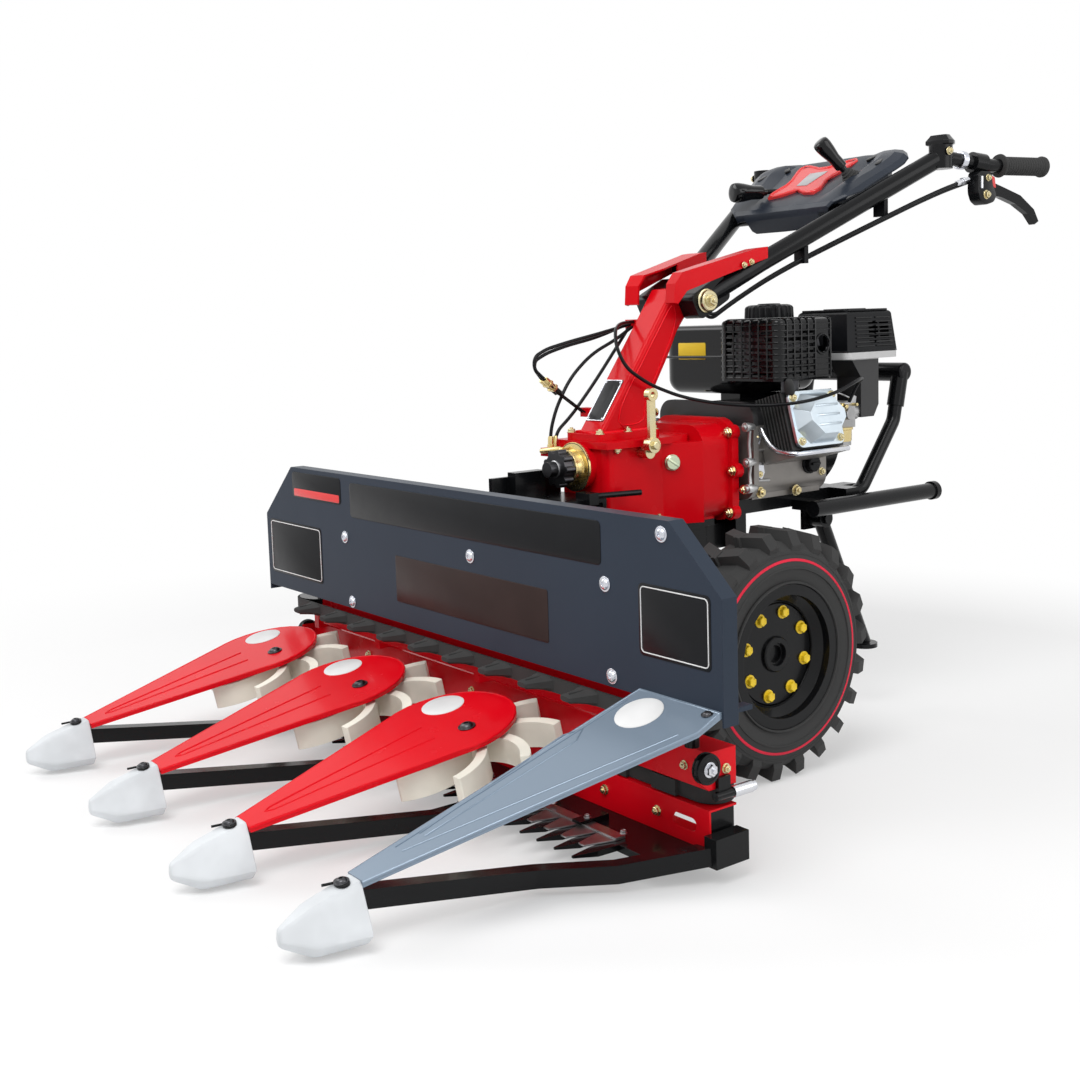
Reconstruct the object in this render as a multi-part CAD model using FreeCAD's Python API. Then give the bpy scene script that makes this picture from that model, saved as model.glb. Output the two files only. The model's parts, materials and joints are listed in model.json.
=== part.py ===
import FreeCAD, Part
import math
import os

from FreeCAD import Vector

# Walk-behind reaper: a two-wheel tractor with a front cutting header.
# Millimetres.  +Z is up, +X is the machine's left, and the machine drives towards -Y.
# Sizes are measured with the header level: across from the middle, along from the wheel axle
# and up from the tyres' tread.  save() then leans the machine forward about the axle until the
# divider noses rest on the floor, and moves it so that its box stands centred on the origin.

# ---------------------------------------------------------------- clearances
RUN_GAP = 0.05
SEAT_GAP = 0.3
END_GAP = 1.0
MOVE_GAP = 5.5

# ---------------------------------------------------------------- wheels
TYRE_R = 205.0
TYRE_W = 104.0
TYRE_MID_X = 271.0
TREAD_H = 17.0
SIDEWALL_R = 146.0
BEAD_R = 103.0
RIM_LIP_R = 116.0
RIM_W = 92.0
RIM_T = 3.0
RIM_WELL = 14.0
DISC_OUT_X = 293.0
DISC_T = 6.0
DISC_RIM_X = 12.0
HUB_R = 36.0
HUB_BORE_R = 14.4
HUB_FLANGE_R = 82.0
HUB_FLANGE_T = 8.0
AXLE_R = 15.0
AXLE_IN = 60.0
LUG_PAIRS = 11
LUG_W = 20.0
LUG_SLANT = 20.0
LUG_OVERLAP = 6.0

# ---------------------------------------------------------------- transmission
CASE_HALF_W = 62.0
CASE_Y0 = -78.0
CASE_Y1 = 78.0
CASE_Z0 = 140.0
CASE_ROUND = 22.0
CASE_LIP = 10.0
CASE_LIP_T = 12.0
AXLE_TUBE_R = 44.0
AXLE_TUBE_END = 150.0
AXLE_FLANGE_R = 62.0
AXLE_FLANGE_T = 16.0
GEARBOX_Z0 = 395.0
GEARBOX_HALF_W = 64.0
GEARBOX_Y0 = -150.0
GEARBOX_TOP = 548.0
GEARBOX_ROUND = 16.0
TOP_PLATE_T = 12.0
TOP_PLATE_LIP = 8.0
BELL_NECK_Y = -26.0
BELL_Y0 = 44.0
BELL_Y1 = 122.0
BELL_HALF_W = 92.0
BELL_TOP = 564.0
BELL_ROUND = 38.0
BELL_FLANGE_T = 16.0
BELL_FLANGE_LIP = 8.0
BELL_EAR_R = 13.0
CRANK_Z = 520.0
PTO_Z = 505.0
PTO_BOSS_R = 38.0
PTO_BOSS_L = 16.0
PTO_RING_T = 5.0
PTO_BARREL_R = 28.0
PTO_BARREL_L = 21.0
PTO_DOG_R = 27.0
PTO_DOG_T = 18.0
PTO_TOOTH_R = 5.5
PTO_DOG_TEETH = 9
PTO_SHAFT_R = 13.0
PTO_TIP = 62.0
CABLE_STOP_X = (-62.0, -38.0)
CABLE_STOP_Y = -192.0
CABLE_STOP_Z = (522.0, 536.0)
SELECTOR_AT = (-74.0, 539.0)
SELECTOR_L = 85.0
SELECTOR_X = 95.0
SELECTOR_T = 7.0
SELECTOR_BOSS_R = 13.0
SELECTOR_EYE_R = 11.0
SELECTOR_EYE_BORE = 5.0
SELECTOR_BAR_W = 13.0

# ---------------------------------------------------------------- column
COLUMN_HALF_W = 30.0
COLUMN_FRONT = ((-134.0, 560.0), (0.0, 745.0), (40.0, 801.0), (72.0, 804.0))
COLUMN_REAR = ((72.0, 754.0), (50.0, 727.0), (27.0, 684.0), (-22.0, 605.0), (-25.0, 560.0))
COLUMN_ROUND = 7.0
COLUMN_FLANGE_T = 12.0
COLUMN_FLANGE_LIP = 16.0
COLUMN_FLANGE_ROUND = 10.0
PIVOT_Y = 76.0
PIVOT_Z = 778.0
PIVOT_R = 12.0
PIVOT_BOSS_R = 26.0
PIVOT_BOSS_HALF = 34.0
PIVOT_HEAD_R = 17.0
PIVOT_HEAD_T = 10.0
CABLE_GUIDES = ((4.0, 742.0), (-105.0, 592.0))
CABLE_GUIDE_L = 28.0
CABLE_GUIDE_W = 16.0

# ---------------------------------------------------------------- handlebar
ARM_R = 17.0
ARM_PIVOT_X = 56.0
ARM_EYE_IN = 35.0
ARM_EYE_OUT = 73.0
ARM_EYE_FRONT = 28.0
ARM_EYE_BACK = 58.0
ARM_EYE_HALF = 24.0
ARM_KNEE = (80.0, 205.0, 843.0)
ARM_BEND = 120.0
ARM_TOP = (216.0, 536.0, 1026.0)
GRIP_FROM = (240.0, 650.0, 1012.0)
GRIP_END = (262.0, 784.0, 1012.0)
GRIP_TUBE_R = 12.5
GRIP_R = 17.0
GRIP_L = 118.0
GRIP_BEND = 60.0
CLAMP_R = 21.0
CLAMP_HALF = 22.0
CROSS_Y = 372.0
CROSS_R = 11.0
BRACKET_T = 3.0
BRACKET_CLEAR_X = 36.0
BRACKET_TOP = ((12.0, 776.0), (15.0, 809.0), (30.0, 828.0), (190.0, 868.0), (209.0, 870.0))
BRACKET_LOW = ((209.0, 850.0), (39.0, 796.0), (20.0, 774.0))
BRACKET_INNER_Y = 118.0
BRACKET_PAD_Y = (140.0, 176.0)
CONSOLE_AT_Y = 385.0
CONSOLE_FLANGE_T = 8.7
CONSOLE_BELLY = -22.0
CONSOLE_FRONT_HALF = 152.0
CONSOLE_REAR_HALF = 198.0
CONSOLE_L = 168.0
CONSOLE_NOSE = 36.0
CONSOLE_BODY_IN = 38.0
TRIM_T = 7.0
LEVER_R = 5.0
GEAR_LEVERS = (((110.0, 422.0), (85.0, 360.0, 1060.0), 12.5), ((-60.0, 413.0), (-90.0, 314.0, 985.0), 14.5))
KNOB_L = 58.0
THROTTLE_R = 17.0
THROTTLE_T = 12.0
THROTTLE_CAP_R = 11.0
THROTTLE_CAP_T = 8.0
LEVER_CLAMP_R = 19.0
LEVER_CLAMP_FROM = 0.62
LEVER_CLAMP_TO = 0.86
LEVER_BLADE_T = 14.0

# ---------------------------------------------------------------- engine
ENGINE_Z0 = 424.0
ENGINE_Y0 = 140.0
CRANKCASE_Y1 = 338.0
CRANKCASE_HALF = 112.0
CRANKCASE_TOP = 590.0
CRANKCASE_ROUND = 30.0
CRANK_FLANGE_T = 12.0
CRANK_FLANGE_LIP = 8.0
CYL_Y = 240.0
CYL_TILT = 15.0
CYL_FROM = 110.0
CYL_TO = 176.0
CYL_FIN_W = 132.0
CYL_FIN_H = 104.0
CYL_FINS = 9
CYL_CORE_IN = 15.0
VALVE_L = 34.0
VALVE_FLANGE_T = 6.0
VALVE_W = 112.0
VALVE_H = 90.0
VALVE_LIP = 5.0
VALVE_CUT = 26.0
VALVE_DRAFT = 12.0
GUARD_BOX = (22.0, 164.0, 156.0, 300.0, 634.0, 742.0)
GUARD_T = 3.0
GUARD_ROUND = 14.0
GUARD_SLOTS = 7
GUARD_SLOT_IN = 16.0
GUARD_HOLE_R = 15.0
GUARD_HOLE_IN = 30.0
GUARD_TOP_SLOTS = 10
MUFFLER_R = 42.0
MUFFLER_STUB_R = 16.0
AIR_BOX = (22.0, 152.0, 352.0, 492.0, 676.0, 752.0)
AIR_DRAFT = 8.0
AIR_ROUND = 14.0
AIR_LOUVRES = 5
AIR_BAND_H = 12.0
AIR_BAND_LIP = 3.0
INTAKE_Y = (396.0, 446.0)
INTAKE_Z = 556.0
TANK_BOX = (-196.0, 14.0, 218.0, 440.0, 604.0, 734.0)
TANK_R = 34.0
TANK_BELLY_R = 28.0
TANK_SEAM_Z = 672.0
TANK_SEAM_T = 5.0
TANK_SEAM_LIP = 5.0
CAP_R = 40.0
CAP_H = 30.0
CAP_AT = (-50.0, 366.0)
CAP_NECK_H = 8.0
RECOIL_R = 84.0
RECOIL_T = 44.0
BLOWER_R = 108.0

# ---------------------------------------------------------------- frame at the rear
RAIL_X = 74.0
RAIL_W = 30.0
RAIL_H = 26.0
RAIL_Y0 = 124.0
RAIL_Y1 = 450.0
CROSS_Y0 = 372.0
CROSS_Y1 = 410.0
CROSS_HALF = 130.0
FRONT_PLATE_T = 26.0
FRONT_PLATE_H = 60.0
HOOP_R = 13.0
HOOP_X = 115.0
HOOP_ROUTE = ((410.0, 411.0), (434.0, 418.0), (528.0, 540.0), (549.0, 632.0))
HOOP_BEND = 34.0
HOOP_SLEEVE_R = 16.0
HOOP_BAR_R = 18.0
HOOP_BAR_HALF = 130.0
TOW_R = 15.0
TOW_X = 146.0
TOW_DROP = 12.0
TOW_Y0 = 262.0
TOW_Y1 = 600.0
TOW_CAP_T = 12.0
TOW_CAP_LIP = 3.0
TOW_TIES = (270.0, 394.0)
TOW_TIE_W = 30.0
STAND_PIVOT = (330.0, 372.0)
STAND_FOOT = (452.0, 116.0)
STAND_R = 14.0
STAND_X = 103.0
STAND_PIN_R = 6.0
STAND_EYE_R = 17.0
STAND_FOOT_R = 26.0
STAND_FOOT_T = 8.0

# ---------------------------------------------------------------- header
HEAD_HALF = 619.0
PANEL_Y = -445.0
PANEL_T = 2.5
PANEL_FOLD = 26.0
PANEL_Z0 = 258.0
PANEL_FOLD_Z0 = 248.0
PANEL_Z1 = 496.0
PANEL_CUT_RIGHT = (112.0, 98.0)
PANEL_CUT_LEFT = (92.0, 87.0)
TAB_W = 16.0
TAB_Y = (-434.0, -392.0)
TAB_Z = (262.0, 268.0)
FRAME_INSET = 79.0
FRAME_HALF = HEAD_HALF - FRAME_INSET
WEB_Y = -395.0
CHANNEL_D = 50.0
CHANNEL_T = 3.0
LOWER_Z0 = 54.0
LOWER_Z1 = 109.0
LOWER_SLOT = (24.0, 46.0, 18.0)
UPPER_Z0 = 136.0
UPPER_Z1 = 184.0
END_PLATE_Y = -420.0
POST_IN = 82.0
POST_MID_X = 160.0
POST_HALF = 16.0
POST_Y = (-367.0, -345.0)
BOARD_Y = -418.0
BOARD_Z0 = 200.0
BOARD_Z1 = 316.0
BOARD_FOOT_HALF = 8.0
BOARD_FOOT_IN = 56.0
BOARD_FOOT_Z1 = 214.0
SPACER_IN = 120.0
SPACER_HALF = 20.0
SPACER_Z0 = 272.0
END_ROLLER_AT = (-405.0, 170.0)
END_ROLLER_R = 20.0
END_ROLLER_T = 12.0
END_PIN_R = 6.0
END_PIN_Y = (-390.0, -322.0)
END_PIN_Z = 128.0
UPPER_BELT_Z = (220.0, 244.0)
UPPER_BELT_R = 44.0
LOWER_BELT_Z = (111.0, 133.0)
LOWER_BELT_R = 26.0
BELT_T = 4.0
BELT_MID_Y = -391.0
LOWER_BELT_MID_Y = -357.0
BELT_INSET = 34.0
UPPER_LUG_L = 34.0
LOWER_LUG_L = 6.0
BELT_LUG_W = 48.0
BELT_LUG_PITCH = 100.0
BELT_POST_R = 10.0
BELT_NUT_H = 12.0
CUTBAR_Y0 = -470.0
CUTBAR_Z0 = 44.0
GUARD_PITCH = 38.1
GUARD_TIP_Y = -541.0
GUARD_END_IN = 20.0
GUARD_LAST = 14.0
KNIFE_LIFT = 0.5
KNIFE_BACK_T = 4.0
KNIFE_BACK_W = 18.0
KNIFE_BACK_IN = 22.0
KNIFE_SECTION_T = 2.0
KNIFE_SECTION_L = 44.0
KNIFE_SECTION_HALF = 18.5
KNIFE_STROKE = 25.0
KNIFE_INSET = KNIFE_STROKE + 9.0
KNIFE_CLIPS = 5
KNIFE_CLIP_HALF = 9.0
END_BOX_W = 22.0
END_BOX_Y = (-405.0, -345.0)
END_BOX_Z = (38.0, 78.0)

# dividers: a to c carry a star wheel, d is the outlet side
DIV_A_X = -457.0
DIV_PITCH = 307.0
DIV_D_X = 420.0
DIV_D_BACK = 22.0
NOSE_BACK_Y = -879.0
NOSE_EDGE_Y = -935.0
NOSE_TIP_Y = -982.0
NOSE_LOW_Z = 28.0
NOSE_TIP_Z = (54.0, 66.0, 84.0)
NOSE_TIP_HALF = (8.0, 13.0, 8.0)
NOSE_EDGE_Z = (NOSE_LOW_Z, 44.0, 100.0)
NOSE_EDGE_HALF = (28.0, 34.0, 14.0)
NOSE_BACK_Z = (NOSE_LOW_Z, 42.0, 109.0)
NOSE_BACK_HALF = (36.0, 44.0, 16.0)
NOSE_FIT = 0.3
COVER_Y = -520.0
COVER_Z = 180.0
COVER_TILT = 12.0
COVER_REAR_R = 106.0
COVER_REAR_AHEAD = 33.0
COVER_NOSE_HALF = 23.0
COVER_T = 3.0
COVER_LIP = 8.0
COVER_D_REAR_Z = 268.0
COVER_D_NOSE_Z = 108.0
COVER_D_NOSE_HALF = 17.0
COVER_D_REAR_W = 150.0
COVER_D_SIDE = 40.0
TUBE_S = 24.0
TUBE_IN_NOSE = 24.0
TUBE_NOSE_Z = 84.0
TUBE_TURN_Y = -575.0
TUBE_BEND = 60.0
STAR_OFF_X = 44.0
STAR_AHEAD = 23.5
STAR_R = 134.0
STAR_H = 40.0
STAR_BLADES = 8
STAR_BLADE_T = 15.0
STAR_SWEEP_R = 92.0
STAR_PIN_R = 10.0
STAR_HUB_R = 26.0
STAR_ARM_Z = 72.0
STAR_ARM_T = 6.0
STAR_ARM_HALF = 15.0
STAR_ARM_FRONT = 28.0

# ---------------------------------------------------------------- drive case and hitch
DRIVE_PLATE_HALF = 110.0
DRIVE_PLATE_T = 8.0
DRIVE_NECK_HALF = 50.0
DRIVE_HALF = 70.0
DRIVE_Y = (46.0, 120.0)
DRIVE_Z = (122.0, 274.0)
TOWER_HALF = 36.0
TOWER_CAP_HALF = 52.0
TOWER_CAP_T = 12.0
HITCH_Z = 448.0
HITCH_Y0 = -298.0
HITCH_X = (-70.0, 60.0)
HITCH_T = 8.0
HITCH_CHEEK_H = 36.0
HITCH_BLOCK_Y = (-264.0, -200.0)
HITCH_BLOCK_Z1 = 500.0
HITCH_FACE_H = 40.0
HITCH_LEVER_R = 5.0

# ---------------------------------------------------------------- control cables
CABLE_R = 3.0
WIRE_R = 1.6
CABLE_CLIPS_Y = (284.0, 430.0)
CABLE_CLIP_W = 10.0
CABLE_CLIP_H = 30.0
ADJUSTER_R = 5.0

# ---------------------------------------------------------------- derived values
# The nose's lower front edge comes down to the floor when the machine leans about the axle.
NOSE_REACH = math.hypot(NOSE_EDGE_Y, TYRE_R - NOSE_LOW_Z)
LEAN = math.degrees(math.atan2(-NOSE_EDGE_Y, TYRE_R - NOSE_LOW_Z) - math.acos(TYRE_R / NOSE_REACH))


def leaned(y, z):
    """Where a point of the level machine comes to when it leans."""
    a = math.radians(LEAN)
    up = z - TYRE_R
    return y * math.cos(a) - up * math.sin(a), TYRE_R + y * math.sin(a) + up * math.cos(a)


FRONT_Y = leaned(NOSE_TIP_Y, NOSE_TIP_Z[2])[0]
REAR_Y = leaned(GRIP_END[1], GRIP_END[2] - GRIP_R)[0]
CENTRE_Y = (FRONT_Y + REAR_Y) / 2.0
SIDES = (("left", 1.0), ("right", -1.0))
DIVIDERS = (("a", DIV_A_X), ("b", DIV_A_X + DIV_PITCH), ("c", DIV_A_X + 2 * DIV_PITCH))
ARM_SLOPE = math.degrees(math.atan2(ARM_TOP[2] - ARM_KNEE[2], ARM_TOP[1] - ARM_KNEE[1]))
ARM_SPLAY = math.degrees(math.atan2(ARM_KNEE[0] - ARM_PIVOT_X, ARM_KNEE[1] - PIVOT_Y))
ARM_LOW_SLOPE = math.degrees(math.atan2(ARM_KNEE[2] - PIVOT_Z, ARM_KNEE[1] - PIVOT_Y))
STAR_TOP = -COVER_LIP - MOVE_GAP
STAR_LOW = STAR_TOP - STAR_H
STAR_Y = COVER_Y - STAR_AHEAD * math.cos(math.radians(COVER_TILT))
STAR_Z = COVER_Z - STAR_AHEAD * math.sin(math.radians(COVER_TILT))
TUBE_LOW_Z = CUTBAR_Z0 - TUBE_S / 2.0 - SEAT_GAP
BELT_END_X = FRAME_HALF - BELT_INSET
KNIFE_Z0 = LOWER_Z0 + KNIFE_LIFT
POST_XS = (-FRAME_HALF + POST_IN, -POST_MID_X, POST_MID_X, FRAME_HALF - POST_IN)
FOOT_XS = tuple(x + STAR_OFF_X + DIV_PITCH / 2.0 for _, x in DIVIDERS) + (-FRAME_HALF + BOARD_FOOT_IN,)

os.makedirs("parts", exist_ok=True)


# ---------------------------------------------------------------- helpers
def save(node, shape):
    """Write one sub-part, leaned onto its noses and moved so that the box is centred on the origin."""
    out = shape.copy()
    out.rotate(Vector(0, 0, TYRE_R), Vector(1, 0, 0), LEAN)
    out.translate(Vector(0, -CENTRE_Y, 0))
    out.exportStep("parts/" + node + ".step")
    print(node, len(out.Solids), "solids", round(out.Volume / 1000.0, 1), "cm3", out.isValid())


def box(x0, x1, y0, y1, z0, z1):
    return Part.makeBox(x1 - x0, y1 - y0, z1 - z0, Vector(x0, y0, z0))


def rod(p, q, radius):
    """A round bar between two points."""
    a = Vector(*p)
    b = Vector(*q)
    return Part.makeCylinder(radius, (b - a).Length, a, b - a)


def ring(p, q, outer, inner):
    return rod(p, q, outer).cut(rod(p, q, inner))


def prism(points, axis, low, high):
    """Extrude an outline along one axis; the outline's points are in the other two."""
    if axis == "x":
        verts = [Vector(low, a, b) for a, b in points]
        step = Vector(high - low, 0, 0)
    elif axis == "y":
        verts = [Vector(a, low, b) for a, b in points]
        step = Vector(0, high - low, 0)
    else:
        verts = [Vector(a, b, low) for a, b in points]
        step = Vector(0, 0, high - low)
    return Part.Face(Part.makePolygon(verts + verts[:1])).extrude(step)


def fuse(shapes):
    first = shapes[0]
    if len(shapes) == 1:
        return first
    return first.multiFuse(shapes[1:]).removeSplitter()


def rounded(shape, radius, direction):
    """Round the straight edges of a shape that run along one direction."""
    d = Vector(*direction)
    edges = []
    for edge in shape.Edges:
        if len(edge.Vertexes) == 2 and edge.Curve.TypeId == "Part::GeomLine":
            run = (edge.Vertexes[1].Point - edge.Vertexes[0].Point).normalize()
            if abs(abs(run.dot(d)) - 1.0) < 1e-6:
                edges.append(edge)
    return shape.makeFillet(radius, edges)


def rounded_at(shape, radius, axis, value):
    """Round every edge that lies in one plane square to an axis."""
    edges = []
    for edge in shape.Edges:
        b = edge.BoundBox
        low, high = {"x": (b.XMin, b.XMax), "y": (b.YMin, b.YMax), "z": (b.ZMin, b.ZMax)}[axis]
        if abs(low - value) < 0.01 and abs(high - value) < 0.01:
            edges.append(edge)
    return shape.makeFillet(radius, edges)


def tapered(low, high, z0, z1):
    """A block whose rectangular plan (x0, x1, y0, y1) changes evenly from one height to another."""
    wires = []
    for (x0, x1, y0, y1), z in ((low, z0), (high, z1)):
        corners = [Vector(x0, y0, z), Vector(x1, y0, z), Vector(x1, y1, z), Vector(x0, y1, z)]
        wires.append(Part.makePolygon(corners + corners[:1]))
    return Part.makeLoft(wires, True, True)


def tube_wire(points, radii):
    """A wire of straight runs joined by tangent arcs, one radius for each inner point."""
    pts = [Vector(*p) for p in points]
    edges = []
    start = pts[0]
    for i in range(1, len(pts) - 1):
        into = (pts[i] - pts[i - 1]).normalize()
        out = (pts[i + 1] - pts[i]).normalize()
        turn = into.getAngle(out)
        bend = radii[i - 1]
        cut_back = bend * math.tan(turn / 2.0)
        a = pts[i] - into * cut_back
        b = pts[i] + out * cut_back
        bisect = (out - into).normalize()
        centre = pts[i] + bisect * (bend / math.cos(turn / 2.0))
        mid = centre - bisect * bend
        edges.append(Part.LineSegment(start, a).toShape())
        edges.append(Part.Arc(a, mid, b).toShape())
        start = b
    edges.append(Part.LineSegment(start, pts[-1]).toShape())
    return Part.Wire(edges)


def sweep(wire, points, radius):
    first = Vector(*points[0])
    heading = Vector(*points[1]) - first
    circle = Part.Wire(Part.makeCircle(radius, first, heading))
    return wire.makePipeShell([circle], True, False)


def pipe(points, radius, bend):
    return sweep(tube_wire(points, [bend] * (len(points) - 2)), points, radius)


def cable(points, radius):
    """A flexible cable: each bend is as wide as the runs beside it allow."""
    pts = [Vector(*p) for p in points]
    radii = []
    for i in range(1, len(pts) - 1):
        into = pts[i] - pts[i - 1]
        out = pts[i + 1] - pts[i]
        turn = into.getAngle(out)
        radii.append(0.45 * min(into.Length, out.Length) / math.tan(turn / 2.0))
    wire = tube_wire(points, radii)
    tube = sweep(wire, points, radius)
    whole = wire.Length * math.pi * radius * radius
    print("cable", round(wire.Length), "mm, tightest bend", round(min(radii), 1), "volume share",
          round(tube.Volume / whole, 4))
    return tube


def square_pipe(points, side, bend):
    """A square tube along a path; its section starts level with the floor."""
    wire = tube_wire(points, [bend] * (len(points) - 2))
    first = Vector(*points[0])
    heading = (Vector(*points[1]) - first).normalize()
    across = heading.cross(Vector(0, 0, 1)).normalize() * (side / 2.0)
    up = across.cross(heading).normalize() * (side / 2.0)
    corners = [first + across + up, first - across + up, first - across - up, first + across - up]
    section = Part.Wire(Part.makePolygon(corners + corners[:1]))
    return wire.makePipeShell([section], True, False)


def mirrored(shape):
    return shape.mirror(Vector(0, 0, 0), Vector(1, 0, 0))


def about_x(radius_points):
    """Turn an (x, radius) outline about the wheel axle."""
    verts = [Vector(x, 0, TYRE_R + r) for x, r in radius_points]
    face = Part.Face(Part.makePolygon(verts + verts[:1]))
    return face.revolve(Vector(0, 0, TYRE_R), Vector(1, 0, 0), 360)


# ---------------------------------------------------------------- wheels
def tyre():
    half = TYRE_W / 2.0
    crown = TYRE_R - TREAD_H
    m = TYRE_MID_X
    bead = RIM_W / 2.0 - RUN_GAP * 4
    outline = [
        (m - bead, BEAD_R),
        (m - bead, RIM_LIP_R + 1),
        (m - half, SIDEWALL_R),
        (m - half + 6, crown - 16),
        (m - half + 20, crown - 4),
        (m, crown),
        (m + half - 20, crown - 4),
        (m + half - 6, crown - 16),
        (m + half, SIDEWALL_R),
        (m + bead, RIM_LIP_R + 1),
        (m + bead, BEAD_R),
    ]
    body = about_x(outline)
    # the first lug is turned back by the lean, so that a lug stands flat on the floor
    lugs = []
    for i in range(LUG_PAIRS * 2):
        side = 1 if i % 2 else -1
        lugs.append(tyre_lug(side, 360.0 * i / (LUG_PAIRS * 2) - LEAN))
    return fuse([body] + lugs)


def tyre_lug(side, angle):
    """One slanted tread bar from the middle of the tread out over its shoulder."""
    half = TYRE_W / 2.0
    root = TYRE_R - TREAD_H - 20
    profile = [
        (TYRE_MID_X - side * LUG_OVERLAP, root),
        (TYRE_MID_X - side * LUG_OVERLAP, TYRE_R),
        (TYRE_MID_X + side * (half - 12), TYRE_R - 3),
        (TYRE_MID_X + side * (half - 3), TYRE_R - 26),
        (TYRE_MID_X + side * (half - 8), root),
    ]
    faces = []
    for y in (-LUG_W / 2.0, LUG_W / 2.0):
        verts = []
        for x, r in profile:
            shift = LUG_SLANT * side * (x - TYRE_MID_X) / half
            verts.append(Vector(x, y + shift, r))
        faces.append(Part.makePolygon(verts + verts[:1]))
    bar = Part.makeLoft(faces, True, True)
    bar.rotate(Vector(0, 0, 0), Vector(1, 0, 0), angle)
    bar.translate(Vector(0, 0, TYRE_R))
    return bar


def rim():
    half = RIM_W / 2.0
    m = TYRE_MID_X
    well = BEAD_R - RUN_GAP
    floor_r = well - RIM_WELL
    outline = [
        (m - half, RIM_LIP_R),
        (m - half, well),
        (m - half + 18, floor_r),
        (m + half - 24, floor_r),
        (m + half - 10, well),
        (m + half, well),
        (m + half, RIM_LIP_R),
    ]
    inner = [(x, r - RIM_T) for x, r in reversed(outline[1:-1])]
    barrel = about_x(
        [(m - half - RIM_T, RIM_LIP_R), (m - half, RIM_LIP_R)]
        + outline[1:-1]
        + [(m + half, RIM_LIP_R), (m + half + RIM_T, RIM_LIP_R), (m + half + RIM_T, well - RIM_T)]
        + inner
        + [(m - half - RIM_T, well - RIM_T)]
    )
    dish = about_x(
        [
            (DISC_OUT_X - DISC_T, HUB_BORE_R),
            (DISC_OUT_X, HUB_BORE_R),
            (DISC_OUT_X, HUB_FLANGE_R),
            (m + DISC_RIM_X + RIM_T, floor_r),
            (m + DISC_RIM_X - RIM_T, floor_r),
            (DISC_OUT_X - DISC_T, HUB_FLANGE_R - 4),
        ]
    )
    return fuse([barrel, dish])


def hub():
    """Flange behind the wheel disc and the half shaft into the axle tube."""
    z = TYRE_R
    back = DISC_OUT_X - DISC_T
    flange = rod((back - HUB_FLANGE_T, 0, z), (back, 0, z), HUB_FLANGE_R - 6)
    barrel = rod((AXLE_TUBE_END + END_GAP, 0, z), (back, 0, z), HUB_R)
    shaft = rod((AXLE_TUBE_END - AXLE_IN, 0, z), (back, 0, z), AXLE_R)
    return fuse([flange, barrel, shaft])


# ---------------------------------------------------------------- transmission
def lower_case():
    body = box(-CASE_HALF_W, CASE_HALF_W, CASE_Y0, CASE_Y1, CASE_Z0, GEARBOX_Z0)
    body = rounded(body, CASE_ROUND, (1, 0, 0))
    whole = [body, rod((-AXLE_TUBE_END, 0, TYRE_R), (AXLE_TUBE_END, 0, TYRE_R), AXLE_TUBE_R)]
    for _, s in SIDES:
        face = s * CASE_HALF_W
        whole.append(rod((face, 0, TYRE_R), (face + s * AXLE_FLANGE_T, 0, TYRE_R), AXLE_FLANGE_R))
    lip = CASE_LIP
    whole.append(box(-CASE_HALF_W - lip, CASE_HALF_W + lip, CASE_Y0 - lip, CASE_Y1 + lip,
                     GEARBOX_Z0 - CASE_LIP_T, GEARBOX_Z0))
    case = fuse(whole)
    inner = AXLE_TUBE_END - AXLE_IN - END_GAP
    for _, s in SIDES:
        bore = rod((s * inner, 0, TYRE_R), (s * (AXLE_TUBE_END + 1), 0, TYRE_R), AXLE_R + RUN_GAP)
        case = case.cut(bore)
    return case


def gearbox():
    """Gear housing that widens into the bell in front of the engine."""
    z0 = GEARBOX_Z0
    half = GEARBOX_HALF_W
    front = box(-half, half, GEARBOX_Y0, BELL_Y0, z0, GEARBOX_TOP)
    front = rounded(front, GEARBOX_ROUND, (0, 0, 1))
    neck = [(-half, BELL_NECK_Y), (half, BELL_NECK_Y), (BELL_HALF_W, BELL_Y0), (-BELL_HALF_W, BELL_Y0)]
    shoulder = prism(neck, "z", z0, GEARBOX_TOP - TOP_PLATE_T)
    bell = box(-BELL_HALF_W, BELL_HALF_W, BELL_Y0, BELL_Y1, z0, BELL_TOP)
    bell = rounded(bell, BELL_ROUND, (0, 1, 0))
    lip = BELL_FLANGE_LIP
    flange_y = BELL_Y1 - BELL_FLANGE_T
    flange = box(-BELL_HALF_W - lip, BELL_HALF_W + lip, flange_y, BELL_Y1, z0 - 6, BELL_TOP + lip)
    whole = [front, shoulder, bell, rounded(flange, BELL_ROUND, (0, 1, 0))]
    for _, s in SIDES:
        for share in (0.06, 0.5, 0.9):
            z = z0 + share * (BELL_TOP - z0)
            x = s * (BELL_HALF_W + (lip if share == 0.5 else 0.0))
            whole.append(rod((x, flange_y, z), (x, BELL_Y1, z), BELL_EAR_R))
    lip = TOP_PLATE_LIP
    whole.append(box(-half - lip, half + lip, GEARBOX_Y0 - 6, COLUMN_REAR[-1][0] + COLUMN_FLANGE_LIP,
                     GEARBOX_TOP - TOP_PLATE_T, GEARBOX_TOP))
    boss_y = GEARBOX_Y0 - PTO_BOSS_L
    whole.append(rod((0, GEARBOX_Y0 + 4, PTO_Z), (0, boss_y, PTO_Z), PTO_BOSS_R))
    whole.append(box(-half - lip, half + lip, CASE_Y0 - CASE_LIP, CASE_Y1 + CASE_LIP, z0, z0 + CASE_LIP_T))
    whole.append(box(*CABLE_STOP_X, CABLE_STOP_Y, GEARBOX_Y0, *CABLE_STOP_Z))
    return fuse(whole)


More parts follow.
